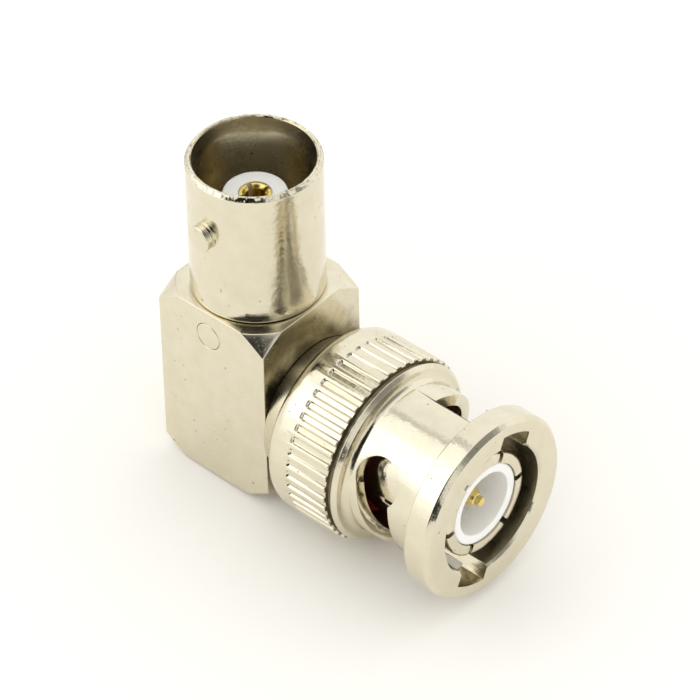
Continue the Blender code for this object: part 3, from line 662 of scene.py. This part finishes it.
sleeve = make_sleeve()
pin = make_pin()
print("pin", len(pin.data.polygons), "faces")

# %% [markdown]
# ## The coupling nut
# This is the piece that took the most skill to make. It is turned with a rounded back, a knurled
# grip, a narrow band, a waist and a flange. Then 48 slots with sloping walls and rounded rear ends
# are milled into the grip, two entry notches are broached through the flange, and from each notch a
# helical track runs a quarter turn back to a round detent. The tracks are lofts between sections
# that turn and step back together, which keeps their walls true to one pitch.

# %% Turn the nut
NUT_REAR = NUT_LOW.x
NUT_FRONT = NUT_HIGH.x
NUT_RADIUS = NUT_HIGH.z - PLUG_Z
REAR_ROUND = 1.2
NUT_BORE = 4.93
LIP_BORE = 4.25
LIP = NUT_REAR + 1.8
KNURL_FRONT = NUT_REAR + 5.87
WAIST_RADIUS = 5.8
FLANGE_RADIUS = 7.12
FLANGE_REAR = NUT_FRONT - 2.05
FLANGE_INSET = 0.33
FLANGE_DROP = 0.36
BAND_REAR = NUT_REAR + 6.27
BAND_FRONT = NUT_REAR + 6.62
BAND_RADIUS = 6.9
BAND_CHAMFER = 0.28
NUT_MOUTH = 0.2
NUT_STEPS = 192
nut_corners = [
    (NUT_BORE + NUT_MOUTH, NUT_FRONT, 0.03),
    (FLANGE_RADIUS - FLANGE_INSET, NUT_FRONT, 0.06),
    (FLANGE_RADIUS, NUT_FRONT - FLANGE_DROP, 0.14),
    (FLANGE_RADIUS, FLANGE_REAR, 0.1),
    (WAIST_RADIUS, FLANGE_REAR, 0.04),
    (WAIST_RADIUS, BAND_FRONT, 0.55),
    (BAND_RADIUS - BAND_CHAMFER, BAND_FRONT, 0.05),
    (BAND_RADIUS, BAND_FRONT - BAND_CHAMFER, 0.04),
    (BAND_RADIUS, BAND_REAR, 0.03),
    (BAND_RADIUS - BAND_CHAMFER, BAND_REAR, 0.03),
    (BAND_RADIUS - BAND_CHAMFER, KNURL_FRONT, 0.03),
    (NUT_RADIUS, KNURL_FRONT, 0.08),
    (NUT_RADIUS, NUT_REAR, REAR_ROUND),
    (LIP_BORE, NUT_REAR, 0.1),
    (LIP_BORE, LIP, 0.05),
    (NUT_BORE, LIP, 0),
    (NUT_BORE, NUT_FRONT - NUT_MOUTH, 0.05),
]
nut = turned("nut", nut_corners, PLUG_FRAME, NUT_STEPS)
print("nut blank", len(nut.data.polygons), "faces")

# %% Mill the flutes of the grip
FLUTES = 48
FLUTE_WIDTH = 0.6
FLUTE_FLOOR = 0.4
FLUTE_DEPTH = 0.19
FLUTE_CORNER = 0.17
FLUTE_START = NUT_REAR + 2.26
FLUTE_END = BAND_REAR - 0.02


def flute_tool():
    """Slots with a flat floor and sloping walls, rounded at the rear and open at the front."""
    bm = bmesh.new()
    slope = (FLUTE_WIDTH - FLUTE_FLOOR) / FLUTE_DEPTH / 2
    for index in range(FLUTES):
        turn = Matrix.Rotation(2 * math.pi * (index + 0.5) / FLUTES, 4, "Z")
        rings = []
        for radius in (NUT_RADIUS - FLUTE_DEPTH, NUT_RADIUS + FLUTE_DEPTH):
            half = FLUTE_FLOOR / 2 + slope * (radius - NUT_RADIUS + FLUTE_DEPTH)
            rear = FLUTE_START + FLUTE_WIDTH / 2 - half
            corners = [(-half, rear, FLUTE_CORNER), (half, rear, FLUTE_CORNER)]
            corners += [(half, FLUTE_END, 0), (-half, FLUTE_END, 0)]
            rings.append([bm.verts.new(turn @ Vector((radius, y, z))) for y, z in rounded(corners)])
        bm.faces.new(rings[0])
        bm.faces.new(rings[1])
        for step in range(len(rings[0])):
            bm.faces.new((rings[0][step - 1], rings[0][step], rings[1][step], rings[1][step - 1]))
    return new_piece("flutes", bm, PLUG_FRAME, tools)


cut(nut, flute_tool())
print("fluted nut", len(nut.data.polygons), "faces")

# %% Broach the entries, mill the tracks and drill the detents
ENTRY_WIDTH = 2.95
ENTRY_RADIUS = 6.03
ENTRY_ANGLE = 24.5
ENTRY_OVERLAP = 0.28
ARCH_POINTS = 16
TRACK_SWEEP = 90.5
TRACK_ADVANCE = 1.99
TRACK_ENTRY_WIDTH = 2.35
TRACK_END_WIDTH = 2.95
DETENT_RADIUS = 1.84
DETENT = NUT_FRONT - 6.14
DETENT_STEPS = 72
DRILL_TOP = 8
DRILL_FLOOR = 4
TRACK_STEPS = 48
CLEAR = 0.5


def entry_tool(index):
    """A cutter with straight sides and an arched top, from the track's start out through the flange."""
    rear = DETENT - DETENT_RADIUS + TRACK_ADVANCE - ENTRY_OVERLAP
    front = NUT_FRONT + CLEAR
    inner = NUT_BORE - CLEAR
    spread = math.asin(ENTRY_WIDTH / 2 / ENTRY_RADIUS)
    outline = [(inner, ENTRY_WIDTH / 2), (inner, -ENTRY_WIDTH / 2)]
    for step in range(ARCH_POINTS):
        angle = spread * (2 * step / (ARCH_POINTS - 1) - 1)
        outline.append((ENTRY_RADIUS * math.cos(angle), ENTRY_RADIUS * math.sin(angle)))
    turn = Matrix.Rotation(math.radians(plug_angle(ENTRY_ANGLE + 180 * index)), 4, "Z")
    bm = bmesh.new()
    face = bm.faces.new([bm.verts.new(turn @ Vector((x, y, rear))) for x, y in outline])
    raised = bmesh.ops.extrude_face_region(bm, geom=[face])["geom"]
    far_end = [item for item in raised if isinstance(item, bmesh.types.BMVert)]
    bmesh.ops.translate(bm, verts=far_end, vec=(0, 0, front - rear))
    return new_piece("entry", bm, PLUG_FRAME, tools)


def track_tool(index):
    """A helical slot, lofted from its entry to the wider end that meets the detent."""
    inner, outer = NUT_BORE - CLEAR, WAIST_RADIUS + CLEAR
    bm = bmesh.new()
    sections = []
    for step in range(TRACK_STEPS + 1):
        share = step / TRACK_STEPS
        rear = DETENT - DETENT_RADIUS + TRACK_ADVANCE * (1 - share)
        front = rear + TRACK_ENTRY_WIDTH + (TRACK_END_WIDTH - TRACK_ENTRY_WIDTH) * share
        angle = math.radians(plug_angle(ENTRY_ANGLE + TRACK_SWEEP * share + 180 * index))
        turn = Matrix.Rotation(angle, 4, "Z")
        corners = [(inner, 0, rear), (outer, 0, rear), (outer, 0, front), (inner, 0, front)]
        sections.append([bm.verts.new(turn @ Vector(corner)) for corner in corners])
    for near, far in zip(sections, sections[1:]):
        for side in range(4):
            bm.faces.new((near[side - 1], near[side], far[side], far[side - 1]))
    bm.faces.new(sections[0])
    bm.faces.new(sections[-1])
    return new_piece("track", bm, PLUG_FRAME, tools)


def detent_tool(index):
    """A drill that stands on the nut's side at the track's end."""
    angle = math.radians(plug_angle(ENTRY_ANGLE + TRACK_SWEEP + 180 * index))
    lift = Matrix.Translation((0, 0, DETENT * MM))
    place = PLUG_FRAME @ lift @ Matrix.Rotation(angle, 4, "Z") @ Matrix.Rotation(math.radians(90), 4, "Y")
    return drill("detent", DETENT_RADIUS, DRILL_TOP, DRILL_FLOOR, place, DETENT_STEPS)


for index in range(2):
    cut(nut, entry_tool(index))
    cut(nut, track_tool(index))
    cut(nut, detent_tool(index))
break_edges(nut, 0.05)
print("finished nut", len(nut.data.polygons), "faces")

# %% [markdown]
# ## The gasket
# A ring of red silicone lies deep in the nut. Only a little of it shows through the detents, as a
# dark red glow, but without it the holes would look empty.

# %% Make the gasket
GASKET_BORE = 4.17
GASKET_RADIUS = 4.83
gasket_corners = [
    (GASKET_BORE, GASKET_HIGH.x, 0.25),
    (GASKET_RADIUS, GASKET_HIGH.x, 0.25),
    (GASKET_RADIUS, GASKET_LOW.x, 0.1),
    (GASKET_BORE, GASKET_LOW.x, 0.1),
]
gasket = turned("silicone_gasket", gasket_corners, PLUG_FRAME)
even_shading(gasket)
print("gasket", len(gasket.data.polygons), "faces")

# %% [markdown]
# ## The wave washer
# A strip of bronze, bent into three waves, pushes the nut back against the collar. It can't be seen
# at rest, but it is made as a piece of its own because it flattens when the nut is pulled forward.

# %% Make the wave washer
WAVE_LOW, WAVE_HIGH = (Vector(corner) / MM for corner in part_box("wave_washer"))
WAVES = 3
STRIP = 0.2


def make_wave_washer():
    """A ring of strip whose height swings three times round the shell."""
    radii = (NECK_RADIUS + GAP, (WAVE_HIGH.y - WAVE_LOW.y) / 2)
    middle, swing = (WAVE_LOW.x + WAVE_HIGH.x) / 2, (WAVE_HIGH.x - WAVE_LOW.x - STRIP) / 2
    bm = bmesh.new()
    sections = []
    for step in range(TURN_STEPS):
        angle = 2 * math.pi * step / TURN_STEPS
        height = middle + swing * math.cos(WAVES * angle)
        low, high = height - STRIP / 2, height + STRIP / 2
        corners = [(radii[0], low), (radii[1], low), (radii[1], high), (radii[0], high)]
        sections.append([bm.verts.new((r * math.cos(angle), r * math.sin(angle), z)) for r, z in corners])
    for near, far in zip(sections, sections[1:] + sections[:1]):
        for side in range(4):
            bm.faces.new((near[side - 1], near[side], far[side], far[side - 1]))
    return new_piece("wavy_washer", bm, PLUG_FRAME)


wavy_washer = make_wave_washer()
even_shading(wavy_washer)
print("wave washer", round(WAVE_HIGH.x - WAVE_LOW.x, 2), "mm high")

# %% [markdown]
# ## Riding and replacing
# Each piece moves with the body whose solid it stands for, so the nut turns and the rest stays.
# The snap ring and the flat washer are hidden by the nut and keep their own solids.

# %% Tie the pieces to the bodies
STAND_FOR = [
    (block, "body_block", "adapter", "plated_brass"),
    (dowel, "barrel_dowel", "adapter", "plated_brass"),
    (barrel, "jack_barrel", "adapter", "plated_brass"),
    (jack_insulator, "jack_insulator", "adapter", "ptfe"),
    (socket, "jack_contact", "adapter", "gilt_bronze"),
    (shell, "plug_shell", "adapter", "plated_brass"),
    (sleeve, "plug_insulator", "adapter", "ptfe"),
    (pin, "plug_pin", "adapter", "gilt_brass"),
    (gasket, "gasket", "adapter", "silicone"),
    (wavy_washer, "wave_washer", "adapter", "spring_bronze"),
    (nut, "coupling_nut", "nut", "plated_brass"),
]
for piece, cad_node, body, slot in STAND_FOR:
    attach(piece, body)
    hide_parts(cad_node)
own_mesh(wavy_washer)
print(len(STAND_FOR), "pieces stand for solids")

# %% [markdown]
# ## Building materials
# Every finish is a small tree of nodes. One helper adds a node, sets it up and links it. Colours
# are written as sRGB hex, as a colour picker gives them, and one function turns them to linear.

# %% Helpers for nodes and colours


def linear(hex_colour):
    """The linear RGBA of an sRGB hex colour."""
    channels = [int(hex_colour[start:start + 2], 16) / 255 for start in (1, 3, 5)]
    return [c / 12.92 if c <= 0.04045 else ((c + 0.055) / 1.055) ** 2.4 for c in channels] + [1]


def add(tree, kind, inputs=None, **settings):
    """Adds a node, sets its properties, and fills or links its inputs."""
    node = tree.nodes.new(kind)
    for name, value in settings.items():
        setattr(node, name, value)
    for socket_name, value in (inputs or {}).items():
        if isinstance(value, bpy.types.NodeSocket):
            tree.links.new(value, node.inputs[socket_name])
        else:
            node.inputs[socket_name].default_value = value
    return node


def new_material(name):
    """An empty material with an output and a Principled shader, and its tree."""
    material = bpy.data.materials.new(name)
    material.use_nodes = True
    tree = material.node_tree
    return material, tree, tree.nodes["Principled BSDF"]


def per_metre(millimetres):
    """The texture scale that gives a pattern of this size in millimetres."""
    return 1 / (millimetres * MM)


def noise(tree, place, size, detail, roughness=0.5):
    """Noise whose lumps have a size in millimetres."""
    inputs = {"Vector": place, "Scale": per_metre(size), "Detail": detail, "Roughness": roughness}
    return add(tree, "ShaderNodeTexNoise", inputs).outputs["Fac"]


def mapped(tree, value, limits, result=(0.0, 1.0)):
    """A value that runs between two limits, stretched to run between two results."""
    inputs = {"Value": value, "From Min": limits[0], "From Max": limits[1]}
    inputs |= {"To Min": result[0], "To Max": result[1]}
    return add(tree, "ShaderNodeMapRange", inputs).outputs["Result"]


def faded(tree, value, limits, level):
    """A factor that goes from 1 at the second limit to a level at the first."""
    inputs = {"Value": value, "From Min": limits[1], "From Max": limits[0], "To Min": 1.0, "To Max": level}
    return add(tree, "ShaderNodeMapRange", inputs, interpolation_type="SMOOTHSTEP").outputs["Result"]


def mixed(tree, factor, first, second):
    """A colour that goes from the first to the second as the factor rises."""
    inputs = {"Factor": factor, "A": first, "B": second}
    return add(tree, "ShaderNodeMix", inputs, data_type="RGBA").outputs["Result"]


def relief(tree, height, strength, depth, below=None):
    """Relief with a depth in millimetres, which can lie over a coarser one."""
    inputs = {"Height": height, "Strength": strength, "Distance": depth * MM}
    if below:
        inputs["Normal"] = below
    return add(tree, "ShaderNodeBump", inputs).outputs["Normal"]


print("warm grey is", [round(channel, 3) for channel in linear("#C8C2B4")])

# %% [markdown]
# ## Bright nickel
# Nickel plate over brass is warm, a little yellow, and mirrors sharply. The barrelled parts rub on
# each other in the plating drum, so the shine varies from place to place, the faces are faintly
# wavy, and small pits and brownish stains stay. A turned face also keeps the lathe's rings under
# the plate, which stretch every reflection across them. Those rings are about 0.03 mm apart; here
# they are 0.09 mm, or the picture couldn't show them. In the bores, the nut's groove and the corner
# round the collar the plate is rougher, and its colour is darkened there as painted shade.

# %% Make the nickel
NICKEL_LIGHT = "#E7E0CD"
NICKEL_WARM = "#D6CEB4"
LATHE_RING = 0.09
# The bore tones are the plate darkened as painted shade inside the bores.
BORE_LIGHT_PAINTED_SHADE = "#DAD1B8"
BORE_DARK_PAINTED_SHADE = "#BFB596"
# The rough tones are the plate darkened as painted shade in the nut's bore and groove.
ROUGH_LIGHT_PAINTED_SHADE = "#C2BAA2"
ROUGH_DARK_PAINTED_SHADE = "#6E654C"
STREAK = 1.6
PIT = 0.14
WOBBLE = 0.5
SPECK = 0.35
STAIN = "#9A8260"
# Painted shade on the block's face round the collar, darkest near the plug's axis, with a ragged edge.
PAINTED_CORNER_SHADE = "#6C644D"
PAINTED_CORNER_SHADE_RADII = (7.0, 9.6)
PAINTED_CORNER_SHADE_WANDER = 4
PIT_LIMITS = (0.24, 0.36)
STAIN_LIMITS = (0.755, 0.8)
SHINE_LIMITS = (0.35, 0.7)
WAVE_DEPTH = 0.03
FINE_DEPTH = 0.01


def nickel(
    name, wobble, ring_strength, pit_strength, roughness, tints=(NICKEL_LIGHT, NICKEL_WARM), corner=None
):
    """Bright nickel plate on a turned or milled face. A corner is the radii between which painted shade
    darkens it.
    """
    material, tree, shader = new_material(name)
    place = add(tree, "ShaderNodeTexCoord").outputs["Object"]
    axes = add(tree, "ShaderNodeSeparateXYZ", {"Vector": place})
    across = add(tree, "ShaderNodeCombineXYZ", {"X": axes.outputs["X"], "Y": axes.outputs["Y"]})
    radius = add(tree, "ShaderNodeVectorMath", {"Vector": across.outputs["Vector"]}, operation="LENGTH")
    section = add(tree, "ShaderNodeCombineXYZ", {"X": radius.outputs["Value"], "Y": axes.outputs["Z"]})
    rings = noise(tree, section.outputs["Vector"], LATHE_RING, 3.0, 0.6)
    patches = noise(tree, place, STREAK, 5.0, 0.62)
    hollow = mapped(tree, noise(tree, place, PIT, 2.0), PIT_LIMITS)
    tint = mixed(tree, patches, linear(tints[0]), linear(tints[1]))
    stained = mapped(tree, noise(tree, place, SPECK, 1.0), STAIN_LIMITS)
    plate = mixed(tree, stained, tint, linear(STAIN))
    if corner:
        plate = paint_corner_shade(tree, axes, plate, patches, corner)
    shine = mapped(tree, patches, SHINE_LIMITS, roughness)
    surface = relief(tree, noise(tree, place, WOBBLE, 3.0), wobble, WAVE_DEPTH)
    surface = relief(tree, rings, ring_strength, FINE_DEPTH, surface)
    surface = relief(tree, hollow, pit_strength, FINE_DEPTH, surface)
    for socket_name, value in (("Base Color", plate), ("Roughness", shine), ("Normal", surface)):
        tree.links.new(value, shader.inputs[socket_name])
    shader.inputs["Metallic"].default_value = 1.0
    return material


def paint_corner_shade(tree, axes, plate, patches, radii):
    """The plate's colour with painted shade, darker towards the plug's axis on the face that the collar
    stands on.
    """
    rise = add(tree, "ShaderNodeMath", {0: axes.outputs["Z"], 1: PLUG_Z * MM}, operation="SUBTRACT")
    spot = add(tree, "ShaderNodeCombineXYZ", {"X": axes.outputs["Y"], "Y": rise.outputs["Value"]})
    away = add(tree, "ShaderNodeVectorMath", {"Vector": spot.outputs["Vector"]}, operation="LENGTH")
    inputs = {0: patches, 1: PAINTED_CORNER_SHADE_WANDER * MM, 2: away.outputs["Value"]}
    ragged = add(tree, "ShaderNodeMath", inputs, operation="MULTIPLY_ADD").outputs["Value"]
    inner, outer = (radius * MM for radius in radii)
    near = faded(tree, ragged, (outer, inner), 0.0)
    return mixed(tree, near, plate, linear(PAINTED_CORNER_SHADE))


# The bore, rough and corner nickels below are darker than the plate: their colour is painted shade.
block_nickel = nickel("nickel_on_drawn_bar", 0.05, 0.0, 0.5, (0.16, 0.27))
turned_nickel = nickel("nickel_on_turned_brass", 0.55, 0.35, 0.4, (0.1, 0.2))
bore_nickel_painted_shade = nickel("nickel_with_painted_bore_shade", 0.07, 0.5, 0.3, (0.2, 0.32), (BORE_LIGHT_PAINTED_SHADE, BORE_DARK_PAINTED_SHADE))
rough_nickel_painted_shade = nickel("rough_nickel_with_painted_shade", 1.0, 1.0, 1.0, (0.24, 0.45), (ROUGH_LIGHT_PAINTED_SHADE, ROUGH_DARK_PAINTED_SHADE))
corner_nickel_painted_shade = nickel("nickel_with_painted_corner_shade", 0.05, 0.0, 0.7, (0.16, 0.3), corner=PAINTED_CORNER_SHADE_RADII)
print("nickel nodes", len(turned_nickel.node_tree.nodes))

# %% [markdown]
# ## Gold, PTFE, silicone and bronze
# Gold plate on the contacts is soft yellow and a little matt. PTFE is the whitest plastic there is,
# and light goes some way into it, so its shadows stay pale. Silicone rubber is moulded and dull.
# The washers are rolled phosphor bronze strip.

# %% Make the other materials
GOLD = "#F3DE98"
GOLD_DEEP = "#E2C46E"
PTFE_WHITE = "#FDFCFA"
PTFE_SHADE = "#F6F5F2"
SILICONE_RED = "#A3261A"
SILICONE_DEEP = "#84190F"
BRONZE = "#B08D62"
BRONZE_DARK = "#94744C"
TOOL_MARK = 0.12
GRAIN = 0.3
PTFE_OPTICS = {
    "Subsurface Weight": 0.35,
    "Subsurface Radius": (1.0, 0.95, 0.9),
    "Subsurface Scale": 0.4 * MM,
    "IOR": 1.35,
}


def grained(name, dark, light, grain, roughness, bump, metallic=0.0):
    """A finish that wanders between two tones, with a fine grain in its surface."""
    material, tree, shader = new_material(name)
    place = add(tree, "ShaderNodeTexCoord").outputs["Object"]
    lumps = noise(tree, place, grain, 4.0)
    tree.links.new(mixed(tree, lumps, linear(dark), linear(light)), shader.inputs["Base Color"])
    tree.links.new(relief(tree, lumps, bump, FINE_DEPTH), shader.inputs["Normal"])
    shader.inputs["Roughness"].default_value = roughness
    shader.inputs["Metallic"].default_value = metallic
    return material


gold_plate = grained("gold_plate", GOLD_DEEP, GOLD, TOOL_MARK, 0.22, 0.4, 1.0)
ptfe = grained("turned_ptfe", PTFE_SHADE, PTFE_WHITE, TOOL_MARK, 0.42, 0.3)
for name, value in PTFE_OPTICS.items():
    ptfe.node_tree.nodes["Principled BSDF"].inputs[name].default_value = value
silicone = grained("moulded_silicone", SILICONE_DEEP, SILICONE_RED, GRAIN, 0.5, 0.2)
bronze = grained("rolled_bronze", BRONZE_DARK, BRONZE, GRAIN, 0.3, 0.3, 1.0)
print("gold", [round(channel, 3) for channel in linear(GOLD)])

# %% [markdown]
# ## Dressing the pieces
# Each piece gets one finish. The two hidden solids that stay as they are get bronze.

# %% Give every piece its material
FINISHES = {
    block_nickel: [block, dowel],
    turned_nickel: [barrel, shell, nut],
    gold_plate: [socket, pin],
    ptfe: [jack_insulator, sleeve],
    silicone: [gasket],
    bronze: [wavy_washer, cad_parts["snap_ring"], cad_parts["thrust_washer"]],
}
for material, wearers in FINISHES.items():
    for piece in wearers:
        piece.data.materials.clear()
        piece.data.materials.append(material)
print(sum(len(wearers) for wearers in FINISHES.values()), "pieces dressed")

# %% [markdown]
# ## Where the plate is dull and darkened by painted shade
# A bore, the bottom of the nut's groove, the shell behind the nut and the face round the collar get
# the dull plate, whose darker colour is painted shade. Its faces are picked by where they lie and
# which way they look, as a second material on the same piece.

# %% Dull the plate in the bores and paint shade there
MOUTH_REACH = 0.3
BORE_REACH = 0.02
SIDEWAYS = 0.3
SQUARE_ON = 0.9
# The faces picked here get a darker nickel: painted shade in the bores.
BORES_WITH_PAINTED_SHADE = (
    (barrel, bore_nickel_painted_shade, BARREL_BORE + MOUTH_REACH),
    (nut, rough_nickel_painted_shade, NUT_BORE + BORE_REACH),
    (shell, bore_nickel_painted_shade, SHELL_BORE + BORE_REACH),
)
for piece, dull, limit in BORES_WITH_PAINTED_SHADE:
    piece.data.materials.append(dull)
    for face in piece.data.polygons:
        x, y, _ = face.center / MM
        away = math.hypot(x, y)
        outward = (face.normal.x * x + face.normal.y * y) / away
        on_the_front = face.normal.z > SQUARE_ON and away > NUT_BORE
        if away < limit and outward < SIDEWAYS and not on_the_front:
            face.material_index = 1
# The shell behind the nut gets the bore nickel too, as painted shade between the parts.
for face in shell.data.polygons:
    if face.center.z < NUT_REAR * MM:
        face.material_index = 1
# The floor of the nut's groove gets the rough nickel, whose dark colour is painted shade.
for face in nut.data.polygons:
    along_axis, away = face.center.z / MM, math.hypot(face.center.x, face.center.y) / MM
    if KNURL_FRONT - TOUCH < along_axis < BAND_REAR + TOUCH and away < BAND_RADIUS + TOUCH:
        face.material_index = 1
# The block's face towards the plug gets the nickel with painted corner shade.
block.data.materials.append(corner_nickel_painted_shade)
for face in block.data.polygons:
    if face.normal.x > SQUARE_ON:
        face.material_index = 1
print("dull faces", sum(face.material_index for face in nut.data.polygons))

# %% [markdown]
# ## The floor
# The adapter lies on its nut and leans on the far lower edge of its block, so the floor is tilted
# to touch both. It is matt paper.

# %% Lay the floor
FLOOR_COLOUR = "#FEFCF8"
FLOOR_REACH = 600
FLOOR_SEGMENTS = 8
PAPER_ROUGHNESS = 0.6
PAPER_SHEEN = 0.2
GRIP_REAR = NUT_REAR + REAR_ROUND


def lay_floor():
    """A pale floor through the block's rear lower edge and the lowest point of the nut's grip."""
    bm = bmesh.new()
    bmesh.ops.create_grid(bm, x_segments=FLOOR_SEGMENTS, y_segments=FLOOR_SEGMENTS, size=FLOOR_REACH)
    lean = math.atan2(-NUT_LOW.z, GRIP_REAR - BLOCK_LOW.x)
    place = Matrix.Translation((BLOCK_LOW.x * MM, 0, -TOUCH * MM)) @ Matrix.Rotation(lean, 4, "Y")
    floor = new_piece("floor", bm, place, bpy.context.scene.collection)
    material, tree, shader = new_material("paper_floor")
    shader.inputs["Base Color"].default_value = linear(FLOOR_COLOUR)
    shader.inputs["Roughness"].default_value = PAPER_ROUGHNESS
    shader.inputs["Specular IOR Level"].default_value = PAPER_SHEEN
    floor.data.materials.append(material)
    return floor


print("floor at", round(lay_floor().location.z / MM, 2), "mm")

# %% [markdown]
# ## The tent
# Bright plate shows whatever stands round it, so such things are photographed in a white tent. The
# floor gets plain white light. What the plate mirrors isn't plain: a tall dark opening gives the
# black lines that make it read as metal, a seam, a wall and the table's edge give its grey bands,
# and a window and a light behind give the bright ones. Azimuths are counted from -Y.

# %% Light the tent
TENT_TINT = "#FFFFFD"
TENT_LEVEL = 0.98
ROOM_LEVEL = 1.09
OPENING_AZIMUTH = 26
OPENING = ((0.42, 0.54), (0.55, 0.36), 0.01)
SEAM_AZIMUTH = -104
SEAM = ((0.01, 0.08), (0.5, 0.35), 0.6)
WINDOW = (-43, 41, (18, 58, 1.5))
BACK_LIGHT = (178, 35, (25, 60, 1.22))
WALL = (115, 42, (16, 34, 0.3))
TABLE_EDGE = (54, 0, (7, 14, 0.25))


def along(tree, ray, place):
    """How far a ray runs along a direction, from -1 to 1."""
    return add(tree, "ShaderNodeVectorMath", {0: ray, 1: place}, operation="DOT_PRODUCT").outputs["Value"]


def towards(tree, ray, azimuth, elevation, spot):
    """A factor that reaches a level near one direction. A spot is two angles in degrees and the level."""
    inner, outer = (math.cos(math.radians(angle)) for angle in spot[:2])
    return faded(tree, along(tree, ray, direction(azimuth, elevation)), (inner, outer), spot[2])


def strip(tree, ray, azimuth, shape):
    """A factor that falls to a level in an upright strip at an azimuth, from the horizon upwards."""
    widths, depths, level = shape
    beside = along(tree, ray, direction(azimuth + 90, 0))
    beside = add(tree, "ShaderNodeMath", {0: beside}, operation="ABSOLUTE").outputs["Value"]
    sides = faded(tree, beside, widths, 0)
    above = faded(tree, along(tree, ray, direction(azimuth, 0)), depths, 0)
    either = add(tree, "ShaderNodeMath", {0: sides, 1: above}, operation="MAXIMUM").outputs["Value"]
    return add(tree, "ShaderNodeMath", {0: either, 1: level}, operation="MAXIMUM").outputs["Value"]


def product(tree, first, second):
    """Two factors multiplied."""
    return add(tree, "ShaderNodeMath", {0: first, 1: second}, operation="MULTIPLY").outputs["Value"]


def choice(tree, factor, first, second):
    """The first shader where the factor is 0, and the second where it is 1."""
    shaders = {0: factor, 1: first.outputs[0], 2: second.outputs[0]}
    return add(tree, "ShaderNodeMixShader", shaders)


def light_tent():
    """World light: plain for the floor; what the plate mirrors has a window, a seam and a dark opening."""
    world = bpy.data.worlds.new("tent")
    bpy.context.scene.world = world
    world.use_nodes = True
    tree = world.node_tree
    tree.nodes.clear()
    ray = add(tree, "ShaderNodeTexCoord").outputs["Generated"]
    opening = strip(tree, ray, OPENING_AZIMUTH, OPENING)
    seam = strip(tree, ray, SEAM_AZIMUTH, SEAM)
    level = product(tree, product(tree, opening, seam), TENT_LEVEL)
    for azimuth, elevation, spot in (WINDOW, BACK_LIGHT, WALL, TABLE_EDGE):
        level = product(tree, level, towards(tree, ray, azimuth, elevation, spot))
    tent = add(tree, "ShaderNodeBackground", {"Color": linear(TENT_TINT), "Strength": level})
    room = add(tree, "ShaderNodeBackground", {"Color": linear(TENT_TINT), "Strength": ROOM_LEVEL})
    white = add(tree, "ShaderNodeBackground", {"Color": (1, 1, 1, 1), "Strength": 1.0})
    rays = add(tree, "ShaderNodeLightPath").outputs
    lit = choice(tree, rays["Is Glossy Ray"], room, tent)
    seen = choice(tree, rays["Is Camera Ray"], lit, white)
    add(tree, "ShaderNodeOutputWorld", {"Surface": seen.outputs["Shader"]})
    return world


print(light_tent().name, "is lit")

# %% [markdown]
# ## The lamp
# One broad lamp at the camera's left gives the shapes a lit side, which a tent alone wouldn't.

# %% Hang the lamp
LAMP_AZIMUTH = -32
LAMP_ELEVATION = 38
LAMP_DISTANCE = 260
LAMP_SIDE = 190
LAMP_WATTS = 0.05


def hang_lamp():
    """A broad square lamp, turned towards the adapter."""
    data = bpy.data.lights.new("softbox", "AREA")
    data.shape = "SQUARE"
    data.size = LAMP_SIDE * MM
    data.energy = LAMP_WATTS
    lamp = bpy.data.objects.new("softbox", data)
    back = direction(LAMP_AZIMUTH, LAMP_ELEVATION)
    turn = back.to_track_quat("Z", "Y").to_matrix().to_4x4()
    lamp.matrix_world = Matrix.Translation((CAMERA_AIM + back * LAMP_DISTANCE) * MM) @ turn
    bpy.context.scene.collection.objects.link(lamp)
    return lamp


print(hang_lamp().name, "is on")

# %% [markdown]
# ## Finish
# The colours are judged with the plain Standard view.

# %% Finish
bpy.context.scene.view_settings.view_transform = "Standard"
